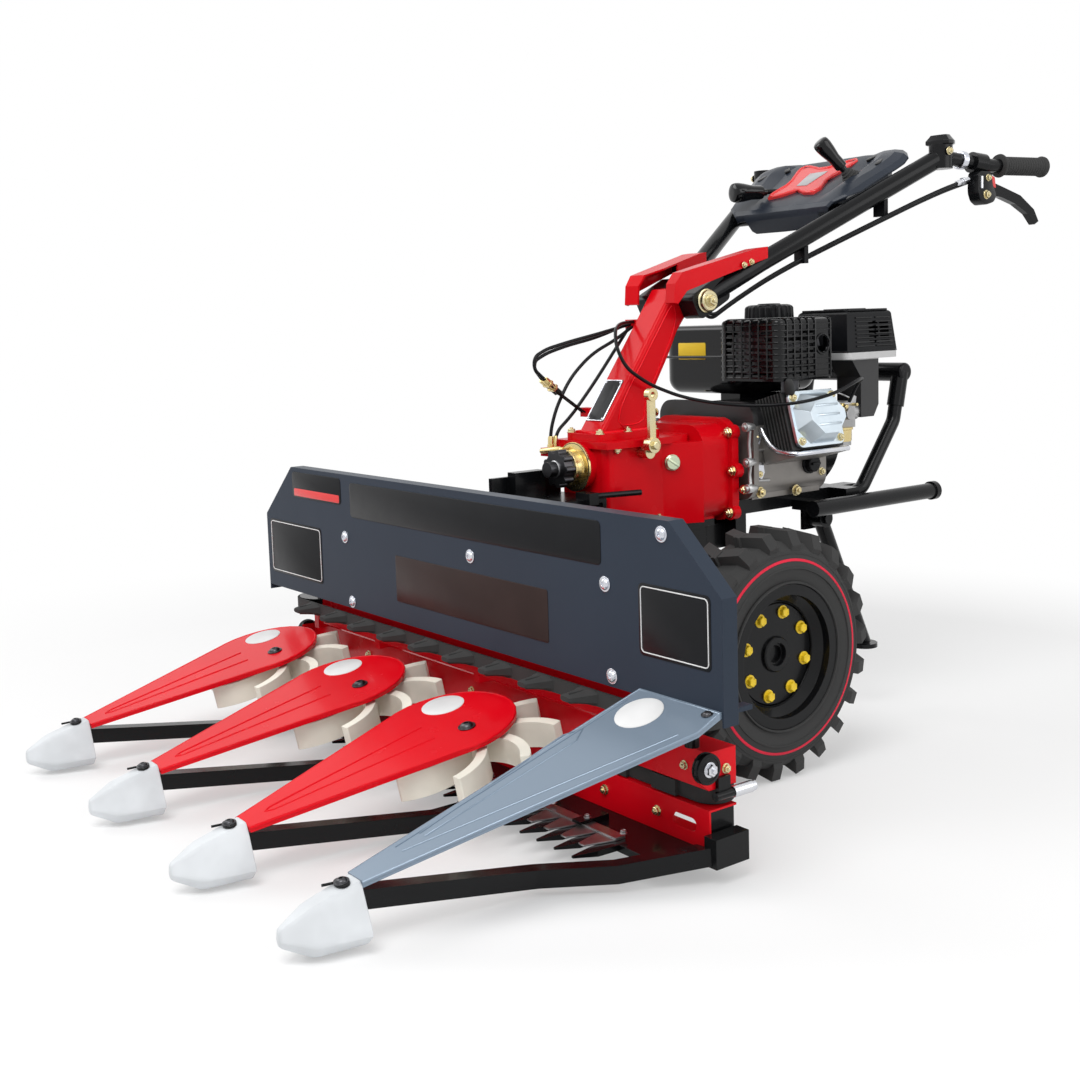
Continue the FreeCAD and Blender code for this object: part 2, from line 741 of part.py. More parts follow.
def pto_clutch():
    """Splined shaft, its ring and the toothed coupling on it."""
    y = GEARBOX_Y0 - PTO_BOSS_L
    ring_y = y - PTO_RING_T
    dog_y = ring_y - PTO_BARREL_L
    end_y = dog_y - PTO_DOG_T
    whole = [
        rod((0, y, PTO_Z), (0, y - PTO_TIP, PTO_Z), PTO_SHAFT_R),
        rod((0, y, PTO_Z), (0, ring_y, PTO_Z), PTO_BOSS_R + 3),
        rod((0, ring_y, PTO_Z), (0, dog_y, PTO_Z), PTO_BARREL_R),
        rod((0, dog_y, PTO_Z), (0, end_y, PTO_Z), PTO_DOG_R),
    ]
    for i in range(PTO_DOG_TEETH):
        a = 2 * math.pi * i / PTO_DOG_TEETH
        x = PTO_DOG_R * math.cos(a)
        z = PTO_Z + PTO_DOG_R * math.sin(a)
        whole.append(rod((x, dog_y, z), (x, end_y, z), PTO_TOOTH_R))
    return fuse(whole)


def selector_lever():
    """Gear selector on the housing's left: shaft, flat lever and the eye at its top."""
    y, z = SELECTOR_AT
    low = SELECTOR_X - SELECTOR_T
    top = z + SELECTOR_L
    shaft = rod((GEARBOX_HALF_W, y, z - TOP_PLATE_T), (low, y, z - TOP_PLATE_T), SELECTOR_EYE_R)
    boss = rod((low - 4, y, z), (SELECTOR_X + 4, y, z), SELECTOR_BOSS_R)
    bar = box(low, SELECTOR_X, y - SELECTOR_BAR_W / 2.0, y + SELECTOR_BAR_W / 2.0, z, top)
    eye = rod((low - 2, y, top), (SELECTOR_X + 2, y, top), SELECTOR_EYE_R)
    hole = rod((low - 3, y, top), (SELECTOR_X + 3, y, top), SELECTOR_EYE_BORE)
    return fuse([shaft, boss, bar, eye]).cut(hole).cut(gearbox())


def column():
    """Pressed column with a foot flange, leaning back to the handlebar's pivot boss."""
    z0 = GEARBOX_TOP
    front_y = COLUMN_FRONT[0][0]
    rear_y = COLUMN_REAR[-1][0]
    lip = COLUMN_FLANGE_LIP
    foot = box(-COLUMN_HALF_W - lip, COLUMN_HALF_W + lip, front_y - lip, rear_y + lip - END_GAP,
               z0, z0 + COLUMN_FLANGE_T)
    foot = rounded(foot, COLUMN_FLANGE_ROUND, (0, 0, 1))
    side = [(front_y, z0)] + list(COLUMN_FRONT) + list(COLUMN_REAR) + [(rear_y, z0)]
    body = prism(side, "x", -COLUMN_HALF_W, COLUMN_HALF_W)
    corners = [e for e in body.Edges if e.BoundBox.XLength < 0.01 and e.BoundBox.ZMax > z0 + 0.01]
    body = body.makeFillet(COLUMN_ROUND, corners)
    boss = rod((-PIVOT_BOSS_HALF, PIVOT_Y, PIVOT_Z), (PIVOT_BOSS_HALF, PIVOT_Y, PIVOT_Z), PIVOT_BOSS_R)
    pin = ARM_EYE_OUT + END_GAP
    bolt = rod((-pin, PIVOT_Y, PIVOT_Z), (pin, PIVOT_Y, PIVOT_Z), PIVOT_R)
    whole = [foot, body, boss, bolt]
    for _, s in SIDES:
        head_x = s * (pin + PIVOT_HEAD_T)
        whole.append(rod((s * pin, PIVOT_Y, PIVOT_Z), (head_x, PIVOT_Y, PIVOT_Z), PIVOT_HEAD_R))
    for y, z in CABLE_GUIDES:
        half = CABLE_GUIDE_W / 2.0
        whole.append(box(-COLUMN_HALF_W - CABLE_GUIDE_L, -COLUMN_HALF_W + COLUMN_ROUND, y, y + CABLE_GUIDE_W,
                         z - half, z + half))
    return fuse(whole)


# ---------------------------------------------------------------- handlebar
def arm_height(y):
    """Height of the upper arm's centre line at a place along the machine."""
    return ARM_KNEE[2] + (y - ARM_KNEE[1]) * math.tan(math.radians(ARM_SLOPE))


def splayed(shape):
    """Turn something built along the machine at the pivot onto the lower arm's splay."""
    out = shape.copy()
    out.rotate(Vector(0, PIVOT_Y, 0), Vector(0, 0, 1), -ARM_SPLAY)
    out.translate(Vector(ARM_PIVOT_X, 0, 0))
    return out


def bracket_top_z(y):
    """Height of the bracket's straight top edge."""
    (y0, z0), (y1, z1) = BRACKET_TOP[2], BRACKET_TOP[3]
    return z0 + (y - y0) * (z1 - z0) / (y1 - y0)


def handle_tubes():
    start = (ARM_PIVOT_X, PIVOT_Y, PIVOT_Z)
    arm = pipe([start, ARM_KNEE, ARM_TOP], ARM_R, ARM_BEND)
    eye = box(ARM_EYE_IN, ARM_EYE_OUT, PIVOT_Y - ARM_EYE_FRONT, PIVOT_Y + ARM_EYE_BACK,
              PIVOT_Z - ARM_EYE_HALF, PIVOT_Z + ARM_EYE_HALF)
    eye = rounded(eye, ARM_EYE_HALF / 2.0, (1, 0, 0))
    eye.rotate(Vector(0, PIVOT_Y, PIVOT_Z), Vector(1, 0, 0), ARM_LOW_SLOPE)
    y0, y1 = BRACKET_PAD_Y
    tops = [(y, bracket_top_z(y) - BRACKET_T - SEAT_GAP) for y in (y1, y0)]
    lows = [(y, PIVOT_Z + (y - PIVOT_Y) * math.tan(math.radians(ARM_LOW_SLOPE))) for y in (y0, y1)]
    pad = splayed(prism(lows + tops, "x", -ARM_R / 2.0, ARM_R / 2.0))
    bar = pipe([ARM_TOP, GRIP_FROM, GRIP_END], GRIP_TUBE_R, GRIP_BEND)
    x, y, z = ARM_TOP
    clamp = rod((x, y, z - CLAMP_HALF), (x, y, z + CLAMP_HALF), CLAMP_R)
    one = fuse([arm, eye, pad, clamp, bar])
    cross_x = ARM_KNEE[0] + (CROSS_Y - ARM_KNEE[1]) * (ARM_TOP[0] - ARM_KNEE[0]) / (ARM_TOP[1] - ARM_KNEE[1])
    cross_z = arm_height(CROSS_Y)
    cross = rod((-cross_x, CROSS_Y, cross_z), (cross_x, CROSS_Y, cross_z), CROSS_R)
    whole = fuse([one, mirrored(one), cross])
    reach = 2 * ARM_EYE_OUT
    bores = [rod((-reach, PIVOT_Y, PIVOT_Z), (reach, PIVOT_Y, PIVOT_Z), PIVOT_R + RUN_GAP)]
    for _, s in SIDES:
        face = (s * ARM_EYE_OUT, PIVOT_Y, PIVOT_Z)
        bores.append(rod(face, (2 * face[0], PIVOT_Y, PIVOT_Z), PIVOT_HEAD_R + END_GAP))
    return whole.cut(fuse(bores))


def arm_bracket(side):
    """Pressed channel over the lower arm, whose front end wraps the column's shoulder."""
    half = ARM_R + SEAT_GAP + BRACKET_T
    outline = list(BRACKET_TOP) + list(BRACKET_LOW)
    solid = prism(outline, "x", -half, half)
    under = [(y, z - BRACKET_T) for y, z in BRACKET_TOP[3:]]
    (y0, z0), (y1, z1), (y2, z2) = BRACKET_TOP[:3]
    t = BRACKET_T
    end_y, end_z = under[-1]
    room = [(y0 + t, z0 - t * 4), (y1 + t, z1 - t), (y2 + t, z2 - t)] + under
    room += [(end_y + t * 4, end_z - t * 8), (BRACKET_LOW[-1][0], PIVOT_Z - 2 * ARM_EYE_HALF)]
    inside = prism(room, "x", -half + BRACKET_T, half - BRACKET_T)
    fore = box(-2 * half, half - BRACKET_T, y0 - half, BRACKET_INNER_Y, 0, 2 * PIVOT_Z)
    low_fore = prism(room, "x", -2 * half, half - BRACKET_T).common(fore)
    channel_shape = splayed(solid.cut(inside).cut(low_fore))
    clear = box(-BRACKET_CLEAR_X, BRACKET_CLEAR_X, y0 - half, BRACKET_INNER_Y + half, 0, 2 * PIVOT_Z)
    one = channel_shape.cut(clear)
    return one if side > 0 else mirrored(one)


def on_arms(shape):
    """Place something built flat about the arms' line onto the slope of the upper arms."""
    out = shape.copy()
    out.rotate(Vector(0, 0, 0), Vector(1, 0, 0), ARM_SLOPE)
    out.translate(Vector(0, CONSOLE_AT_Y, arm_height(CONSOLE_AT_Y)))
    return out


def console():
    """Facetted dash: a flange that lies on both arms and a body between them."""
    def plan(front, rear, nose):
        return [
            (-front, 0),
            (-front + 36, -nose),
            (-40, -nose + 10),
            (40, -nose + 10),
            (front - 36, -nose),
            (front, 0),
            (rear, CONSOLE_L - 44),
            (rear - 34, CONSOLE_L),
            (-rear + 34, CONSOLE_L),
            (-rear, CONSOLE_L - 44),
        ]

    seat = ARM_R + SEAT_GAP
    wide = plan(CONSOLE_FRONT_HALF, CONSOLE_REAR_HALF, CONSOLE_NOSE)
    flange = prism(wide, "z", seat, seat + CONSOLE_FLANGE_T)
    narrow = plan(CONSOLE_FRONT_HALF - CONSOLE_BODY_IN, CONSOLE_REAR_HALF - CONSOLE_BODY_IN, CONSOLE_NOSE)
    body = prism(narrow, "z", CONSOLE_BELLY, seat)
    cross = box(-CONSOLE_REAR_HALF, CONSOLE_REAR_HALF, -CONSOLE_NOSE, MOVE_GAP + CROSS_R, CONSOLE_BELLY - 1,
                CROSS_R + SEAT_GAP)
    return on_arms(fuse([flange, body.cut(cross)]))


def console_trim():
    """Raised cross on the dash."""
    right = [(0, 26), (26, 10), (56, 4), (62, 22), (48, 62), (74, 128), (60, 144), (0, 114)]
    left = [(-x, y) for x, y in reversed(right[1:-1])]
    base = ARM_R + SEAT_GAP + CONSOLE_FLANGE_T
    return on_arms(prism(right + left, "z", base, base + TRIM_T))


def gear_levers():
    """Two gear levers through the dash, each with a tapered knob."""
    out = []
    top = ARM_R + SEAT_GAP + CONSOLE_FLANGE_T
    for (x, y), knob_end, knob_r in GEAR_LEVERS:
        base_z = arm_height(y) + top / math.cos(math.radians(ARM_SLOPE))
        base = Vector(x, y, base_z)
        end = Vector(*knob_end)
        along = (end - base).normalize()
        knob_low = end - along * KNOB_L
        knob = Part.makeCone(knob_r * 0.7, knob_r, KNOB_L, knob_low, along)
        stalk = rod(tuple(base - along * knob_r), tuple(knob_low), LEVER_R)
        below = on_arms(box(x - KNOB_L, x + KNOB_L, -KNOB_L, CONSOLE_L, top - KNOB_L, top))
        out.append(fuse([stalk, knob]).cut(below))
    return Part.makeCompound(out)


def grips():
    a = Vector(*GRIP_END)
    back = (Vector(*GRIP_FROM) - a).normalize()
    b = a + back * GRIP_L
    sleeve = ring(tuple(a), tuple(b), GRIP_R, GRIP_TUBE_R)
    return Part.makeCompound([sleeve, mirrored(sleeve)])


def control_lever():
    """Clamp on the left bar with a curved blade below the grip."""
    top = Vector(*ARM_TOP)
    along = Vector(*GRIP_FROM) - top
    a = top + along * LEVER_CLAMP_FROM
    b = top + along * LEVER_CLAMP_TO
    clamp = ring(tuple(a), tuple(b), LEVER_CLAMP_R, GRIP_TUBE_R)
    x, y, z = (a + b) / 2.0
    blade = [
        (y - 12, z - 14), (y + 14, z - 14), (y + 30, z - 34), (y + 62, z - 44), (y + 104, z - 58),
        (y + 140, z - 84), (y + 152, z - 106), (y + 142, z - 112), (y + 124, z - 92), (y + 92, z - 74),
        (y + 56, z - 62), (y + 16, z - 58), (y - 10, z - 46),
    ]
    bar = prism(blade, "x", x - LEVER_BLADE_T / 2.0, x + LEVER_BLADE_T / 2.0)
    turn = math.degrees(math.atan2(GRIP_END[0] - GRIP_FROM[0], GRIP_END[1] - GRIP_FROM[1]))
    bar.rotate(Vector(x, y, 0), Vector(0, 0, 1), -turn)
    core = rod(ARM_TOP, GRIP_FROM, GRIP_TUBE_R)
    return fuse([clamp, bar.cut(core)])


def throttle():
    x, y, z = ARM_TOP
    low = z + CLAMP_HALF
    mid = low + THROTTLE_T
    return fuse([
        rod((x, y, low), (x, y, mid), THROTTLE_R),
        rod((x, y, mid), (x, y, mid + THROTTLE_CAP_T), THROTTLE_CAP_R),
    ])


# ---------------------------------------------------------------- engine
def tilt_about_crank(shape):
    out = shape.copy()
    out.rotate(Vector(0, CYL_Y, CRANK_Z), Vector(0, 1, 0), -CYL_TILT)
    return out


def crankcase():
    """Solid block of the engine's heavy parts, with the flange that bolts to the bell."""
    half = CRANKCASE_HALF
    body = box(-half, half, ENGINE_Y0, CRANKCASE_Y1, ENGINE_Z0, CRANKCASE_TOP)
    body = rounded(body, CRANKCASE_ROUND, (0, 1, 0))
    lip = CRANK_FLANGE_LIP
    flange_y = ENGINE_Y0 + CRANK_FLANGE_T
    flange = box(-half - lip, half + lip, ENGINE_Y0, flange_y, ENGINE_Z0, CRANKCASE_TOP + lip)
    flange = rounded(flange, CRANKCASE_ROUND, (0, 1, 0))
    adapter = rod((0, BELL_Y1, CRANK_Z - 24), (0, ENGINE_Y0 + 2, CRANK_Z - 24), 70)
    foot = box(-half + 8, half - 8, ENGINE_Y0 + 10, CRANKCASE_Y1 - 10, ENGINE_Z0, ENGINE_Z0 + 12)
    neck = tilt_about_crank(box(
        40, CYL_FROM, CYL_Y - CYL_FIN_W / 2.0 + 8, CYL_Y + CYL_FIN_W / 2.0 - 8,
        CRANK_Z - CYL_FIN_H / 2.0 + 6, CRANK_Z + CYL_FIN_H / 2.0 - 6,
    ))
    return fuse([body, flange, adapter, foot, neck])


def cylinder():
    half_y = CYL_FIN_W / 2.0
    half_z = CYL_FIN_H / 2.0
    low_z = CRANK_Z - half_z
    high_z = CRANK_Z + half_z
    core_in = CYL_CORE_IN
    core = box(CYL_FROM, CYL_TO, CYL_Y - half_y + core_in, CYL_Y + half_y - core_in,
               low_z + core_in, high_z - core_in)
    step = (CYL_TO - CYL_FROM) / CYL_FINS
    fins = []
    for i in range(CYL_FINS):
        x = CYL_FROM + step * i
        fins.append(box(x, x + step * 0.4, CYL_Y - half_y, CYL_Y + half_y, low_z, high_z))
    return tilt_about_crank(fuse([core] + fins)).cut(crankcase())


def valve_cover():
    """Cover on the cylinder head: a flange and a six-sided dome."""
    half_w = VALVE_W / 2.0
    half_h = VALVE_H / 2.0
    lip = VALVE_LIP
    flange = box(CYL_TO, CYL_TO + VALVE_FLANGE_T, CYL_Y - half_w - lip, CYL_Y + half_w + lip,
                 CRANK_Z - half_h - lip, CRANK_Z + half_h + lip)
    flange = rounded(flange, 14, (1, 0, 0))

    def outline(x, draft):
        w = half_w - draft
        h = half_h - draft
        cut = VALVE_CUT
        corners = [
            (-w, -h + cut), (-w + cut, -h), (w - cut, -h), (w, -h + cut),
            (w, h - cut), (w - cut, h), (-w + cut, h), (-w, h - cut),
        ]
        verts = [Vector(x, CYL_Y + a, CRANK_Z + b) for a, b in corners]
        return Part.makePolygon(verts + verts[:1])

    low_x = CYL_TO + VALVE_FLANGE_T
    high_x = CYL_TO + VALVE_L
    dome = Part.makeLoft([outline(low_x, 0), outline(high_x, VALVE_DRAFT)], True, True)
    return tilt_about_crank(fuse([flange, dome]))


def muffler_guard():
    """Cage of slotted sheet over the muffler, with a round hole for the outlet."""
    x0, x1, y0, y1, z0, z1 = GUARD_BOX
    t = GUARD_T
    shell = rounded(box(x0, x1, y0, y1, z0, z1), GUARD_ROUND, (0, 0, 1))
    shell = rounded_at(shell, GUARD_ROUND / 2.0, "z", z1)
    inner = box(x0 + t, x1 - t, y0 + t, y1 - t, z0 - 1, z1 - t)
    inner = rounded(inner, GUARD_ROUND - t, (0, 0, 1))
    shell = shell.cut(inner)
    edge = GUARD_SLOT_IN
    pitch = (z1 - z0 - 1.6 * edge) / GUARD_SLOTS
    slots = []
    hole_y = y1 - GUARD_HOLE_IN
    for i in range(GUARD_SLOTS):
        z = z0 + 0.7 * edge + pitch * i
        high = z + pitch * 0.5
        slots.append(box(x0 + edge, x1 - edge, y0 - 1, y0 + t + 1, z, high))
        slots.append(box(x1 - t - 1, x1 + 1, y0 + edge, hole_y - edge - GUARD_HOLE_R / 2.0, z, high))
    top_pitch = (y1 - y0 - 2 * edge) / GUARD_TOP_SLOTS
    for i in range(GUARD_TOP_SLOTS):
        y = y0 + edge + top_pitch * (i + 0.25)
        slots.append(box((x0 + x1) / 2.0, x1 - edge, y, y + top_pitch * 0.5, z1 - t - 1, z1 + 1))
    rear_pitch = (x1 - x0 - 2 * edge) / 4.0
    for i in range(4):
        x = x0 + edge + rear_pitch * (i + 0.2)
        for z in (z0 + edge, (z0 + z1) / 2.0 + 4):
            slots.append(box(x, x + rear_pitch * 0.6, y1 - t - 1, y1 + 1, z, z + (z1 - z0) / 2.0 - edge - 8))
    hole_z = (z0 + z1) / 2.0 + 8
    slots.append(rod((x1 - t - 1, hole_y, hole_z), (x1 + 1, hole_y, hole_z), GUARD_HOLE_R))
    return shell.cut(Part.makeCompound(slots))


def muffler():
    x0, x1, y0, y1, z0, z1 = GUARD_BOX
    cx = (x0 + x1) / 2.0
    cz = (z0 + z1) / 2.0
    body = rod((cx, y0 + GUARD_T, cz), (cx, y1 - GUARD_T, cz), MUFFLER_R)
    stub_x = cx + MUFFLER_R / 2.0
    stub = rod((stub_x, CYL_Y, CRANKCASE_TOP + MUFFLER_STUB_R / 2.0), (stub_x, CYL_Y, cz), MUFFLER_STUB_R)
    return fuse([body, stub]).cut(cylinder()).cut(crankcase())


def air_cleaner():
    """Tapered cover with a louvred panel on its left."""
    x0, x1, y0, y1, z0, z1 = AIR_BOX
    d = AIR_DRAFT
    body = tapered((x0, x1, y0, y1), (x0 + d, x1 - d, y0 + d, y1 - d), z0, z1)
    body = rounded_at(body, d, "z", z1)
    lip = AIR_BAND_LIP
    rim = box(x0 - lip, x1 + lip, y0 - lip, y1 + lip, z0, z0 + lip)
    pitch = (z1 - z0 - 4 * d) / AIR_LOUVRES
    slots = []
    mid_y = (y0 + y1) / 2.0 - d
    half = (y1 - d * 2 - mid_y) / 2.0
    for i in range(AIR_LOUVRES):
        z = z0 + 2 * d + pitch * i
        for k in range(2):
            y = mid_y + k * half
            slots.append(box(x1 - 3 * d, x1 + 1, y + 2, y + half - 2, z, z + pitch * 0.55))
    return fuse([rounded(rim, AIR_ROUND, (0, 0, 1)), body]).cut(Part.makeCompound(slots))


def air_cleaner_base():
    """Pale band under the cover and the black intake duct down to the carburettor."""
    x0, x1, y0, y1, z0, _ = AIR_BOX
    lip = AIR_BAND_LIP
    band = rounded(box(x0 - lip, x1 + lip, y0 - lip, y1 + lip, z0 - AIR_BAND_H, z0), AIR_ROUND, (0, 0, 1))
    duct_y0, duct_y1 = INTAKE_Y
    duct = prism(
        [(duct_y0, INTAKE_Z), (duct_y1 - 14, INTAKE_Z), (duct_y1, INTAKE_Z + 22), (duct_y1, z0 - AIR_BAND_H),
         (duct_y0 - 26, z0 - AIR_BAND_H), (duct_y0, z0 - AIR_BAND_H - 34)],
        "x", x1 - 62, x1 - 6,
    )
    return fuse([band, duct])


def carburettor():
    x = (CRANKCASE_HALF + AIR_BOX[1] + 12) / 2.0
    y0 = CYL_Y + CYL_FIN_W / 2.0
    y1 = INTAKE_Y[0]
    z = CRANK_Z + CYL_FIN_H / 2.0 - 6
    mid_y = (y0 + y1) / 2.0
    return fuse([
        rod((x - 10, y0, z), (x - 10, y1, z), 15),
        box(x - 24, x + 10, mid_y - 26, mid_y + 26, z - 26, z + 22),
        rod((x - 4, mid_y, z - 58), (x - 4, mid_y, z - 26), 20),
        rod((x - 4, mid_y, z - 66), (x - 4, mid_y, z - 58), 6),
        rod((x + 10, mid_y, z), (x + 22, mid_y, z), 11),
    ])


def fuel_tank():
    """Steel tank with a welded seam round its middle, on two pads over the crankcase."""
    x0, x1, y0, y1, z0, z1 = TANK_BOX
    body = rounded(box(x0, x1, y0, y1, z0, z1), TANK_R, (0, 0, 1))
    body = rounded_at(body, TANK_BELLY_R, "z", z0)
    body = rounded_at(body, TANK_R / 3.0, "z", z1)
    lip = TANK_SEAM_LIP
    seam = box(x0 - lip, x1 + lip, y0 - lip, y1 + lip, TANK_SEAM_Z, TANK_SEAM_Z + TANK_SEAM_T)
    seam = rounded(seam, TANK_R + lip, (0, 0, 1))
    neck = rod((*CAP_AT, z1 - 2), (*CAP_AT, z1 + CAP_NECK_H), CAP_R - 6)
    pads = [box(-70, -20, y, y + 34, CRANKCASE_TOP, z0 + 1) for y in (y0 + 34, CRANKCASE_Y1 - 50)]
    return fuse([body, seam, neck] + pads)


def tank_cap():
    low = TANK_BOX[5] + CAP_NECK_H
    return rod((*CAP_AT, low), (*CAP_AT, low + CAP_H), CAP_R)


def recoil():
    """Blower housing behind the crankcase with the recoil starter on it."""
    y0 = CRANKCASE_Y1
    y1 = y0 + RECOIL_T
    z_low = ENGINE_Z0 - CRANK_Z
    drum = rod((0, y0, CRANK_Z), (0, y1, CRANK_Z), BLOWER_R)
    drum = drum.cut(box(-BLOWER_R, BLOWER_R, y0 - 1, y1 + 1, CRANK_Z - BLOWER_R, CRANK_Z + z_low))
    drum = drum.cut(box(-BLOWER_R, BLOWER_R, y0 - 1, y1 + 1, TANK_BOX[4] - END_GAP, CRANK_Z + BLOWER_R))
    starter = rod((0, y1, CRANK_Z), (0, y1 + 16, CRANK_Z), RECOIL_R)
    boss = rod((0, y1 + 16, CRANK_Z), (0, y1 + 28, CRANK_Z), RECOIL_R / 2.0)
    return fuse([drum, starter, boss])


# ---------------------------------------------------------------- rear frame
def engine_frame():
    z1 = ENGINE_Z0
    z0 = z1 - RAIL_H
    half = RAIL_W / 2.0
    whole = [box(s * RAIL_X - half, s * RAIL_X + half, RAIL_Y0, RAIL_Y1, z0, z1) for _, s in SIDES]
    whole.append(box(-CROSS_HALF, CROSS_HALF, CROSS_Y0, CROSS_Y1, z0, z1))
    foot_z = z0 - FRONT_PLATE_H
    plate_y1 = RAIL_Y0 + FRONT_PLATE_T
    whole.append(box(-CASE_HALF_W, CASE_HALF_W, CASE_Y1, plate_y1, foot_z, GEARBOX_Z0 - CASE_LIP_T))
    whole.append(box(-RAIL_X - half, RAIL_X + half, RAIL_Y0, plate_y1, foot_z, z1))
    return fuse(whole)


def guard_hoop():
    """Bent tube behind the engine: two legs with sleeves and a capped cross bar."""
    legs = []
    for _, s in SIDES:
        route = [(s * HOOP_X, y, z) for y, z in HOOP_ROUTE]
        legs.append(pipe(route, HOOP_R, HOOP_BEND))
        low = Vector(*route[2])
        high = Vector(*route[3])
        start = low + (high - low) * 0.3
        legs.append(rod(tuple(start), tuple(high), HOOP_SLEEVE_R))
    y, z = HOOP_ROUTE[-1]
    bar = rod((-HOOP_BAR_HALF, y, z), (HOOP_BAR_HALF, y, z), HOOP_BAR_R)
    bar = bar.makeFillet(6, [e for e in bar.Edges if e.BoundBox.XLength < 0.01])
    return fuse([bar] + legs).cut(engine_frame())


def tow_tube():
    z = ENGINE_Z0 - RAIL_H / 2.0 - TOW_DROP
    end = TOW_Y1 + TOW_CAP_T
    whole = [
        rod((TOW_X, TOW_Y0, z), (TOW_X, TOW_Y1, z), TOW_R),
        rod((TOW_X, TOW_Y1, z), (TOW_X, end, z), TOW_R + TOW_CAP_LIP),
    ]
    inner = RAIL_X + RAIL_W / 2.0
    for y in TOW_TIES:
        whole.append(box(inner, TOW_X, y, y + TOW_TIE_W, z - 6, z + 12))
    return fuse(whole).cut(engine_frame()).cut(guard_hoop())


def stand_bracket():
    y, z = STAND_PIVOT
    inner = RAIL_X + RAIL_W / 4.0
    plate = box(inner - 4, inner + 4, y - 24, y + 24, z - 22, ENGINE_Z0 - RAIL_H)
    end = STAND_X + STAND_R + 3
    pin = rod((inner, y, z), (end, y, z), STAND_PIN_R)
    head = rod((end, y, z), (end + 5, y, z), STAND_PIN_R + 4)
    return fuse([plate, pin, head])


def stand_leg():
    y, z = STAND_PIVOT
    fy, fz = STAND_FOOT
    leg = rod((STAND_X, y, z), (STAND_X, fy, fz), STAND_R)
    eye = rod((STAND_X - STAND_R - 1, y, z), (STAND_X + STAND_R + 2, y, z), STAND_EYE_R)
    foot = rod((STAND_X, fy, fz - STAND_FOOT_T), (STAND_X, fy, fz), STAND_FOOT_R)
    bore = rod((0, y, z), (2 * STAND_X, y, z), STAND_PIN_R + RUN_GAP)
    return fuse([leg, eye, foot]).cut(bore)


# ---------------------------------------------------------------- header
def header_panel():
    """Sheet with its sides and top folded back; the side folds reach a little lower."""
    def outline(inset, low):
        rx, rz = PANEL_CUT_RIGHT
        lx, lz = PANEL_CUT_LEFT
        h = HEAD_HALF - inset
        top = PANEL_Z1 - inset
        return [(-h, low), (h, low), (h, top - lz), (h - lx, top), (-h + rx, top), (-h, top - rz)]

    full = prism(outline(0, PANEL_FOLD_Z0), "y", PANEL_Y, PANEL_Y + PANEL_FOLD)
    inner = prism(outline(PANEL_T, PANEL_FOLD_Z0 - 1), "y", PANEL_Y + PANEL_T, PANEL_Y + PANEL_FOLD + 1)
    side = HEAD_HALF - PANEL_T
    below = box(-side, side, PANEL_Y - 1, PANEL_Y + PANEL_FOLD, PANEL_FOLD_Z0 - 1, PANEL_Z0)
    return full.cut(inner).cut(below)


def panel_gussets():
    """Small tabs at the panel's lower corners."""
    edge = HEAD_HALF - PANEL_T
    tab = box(edge - TAB_W, edge, *TAB_Y, *TAB_Z)
    return Part.makeCompound([tab, mirrored(tab)])


def channel(z0, z1, x0, x1):
    """A C-section beam, web to the front."""
    web = box(x0, x1, WEB_Y, WEB_Y + CHANNEL_T, z0, z1)
    low = box(x0, x1, WEB_Y, WEB_Y + CHANNEL_D, z0, z0 + CHANNEL_T)
    top = box(x0, x1, WEB_Y, WEB_Y + CHANNEL_D, z1 - CHANNEL_T, z1)
    return fuse([web, low, top])


def frame_lower():
    """Lower beam with an oval slot near each end, and posts up to the upper beam."""
    beam = channel(LOWER_Z0, LOWER_Z1, -FRAME_HALF, FRAME_HALF)
    inset, length, width = LOWER_SLOT
    mid_z = (LOWER_Z0 + LOWER_Z1) / 2.0
    r = width / 2.0
    x1 = FRAME_HALF - inset - r
    x0 = x1 - length + width
    y0 = WEB_Y - 1
    y1 = WEB_Y + CHANNEL_T + 1
    ends = [rod((x, y0, mid_z), (x, y1, mid_z), r) for x in (x0, x1)]
    slot = fuse([box(x0, x1, y0, y1, mid_z - r, mid_z + r)] + ends)
    posts = []
    for x in POST_XS:
        posts.append(box(x - POST_HALF, x + POST_HALF, *POST_Y, LOWER_Z1, UPPER_Z0))
    return fuse([beam.cut(slot).cut(mirrored(slot))] + posts)


def frame_upper():
    """Upper beam with its shelf, the crop board on feet, the panel's spacers and slanted end plates."""
    beam = channel(UPPER_Z0, UPPER_Z1, -FRAME_HALF, FRAME_HALF)
    shelf_z = UPPER_Z1 + CHANNEL_T
    shelf = box(-FRAME_HALF, FRAME_HALF, WEB_Y, WEB_Y + CHANNEL_D, UPPER_Z1, shelf_z)
    half = BELT_END_X - UPPER_BELT_R - MOVE_GAP
    board_back = BOARD_Y + CHANNEL_T
    board = box(-half, half, BOARD_Y, board_back, BOARD_Z0, BOARD_Z1)
    whole = [beam, shelf, board]
    for x in FOOT_XS:
        whole.append(box(x - BOARD_FOOT_HALF, x + BOARD_FOOT_HALF, BOARD_Y, WEB_Y + CHANNEL_D / 2.0,
                         shelf_z, BOARD_FOOT_Z1))
    for x in (-half + SPACER_IN, 0, half - SPACER_IN):
        whole.append(box(x - SPACER_HALF, x + SPACER_HALF, PANEL_Y + PANEL_T, BOARD_Y, SPACER_Z0, BOARD_Z1))
    end = [(END_PLATE_Y, UPPER_Z0 + 20), (WEB_Y, UPPER_Z0), (WEB_Y + CHANNEL_D, UPPER_Z0),
           (WEB_Y + CHANNEL_D, UPPER_Z1), (END_PLATE_Y, UPPER_Z1)]
    for _, s in SIDES:
        edge = s * FRAME_HALF
        whole.append(prism(end, "x", min(edge, edge - s * CHANNEL_T), max(edge, edge - s * CHANNEL_T)))
    return fuse(whole)


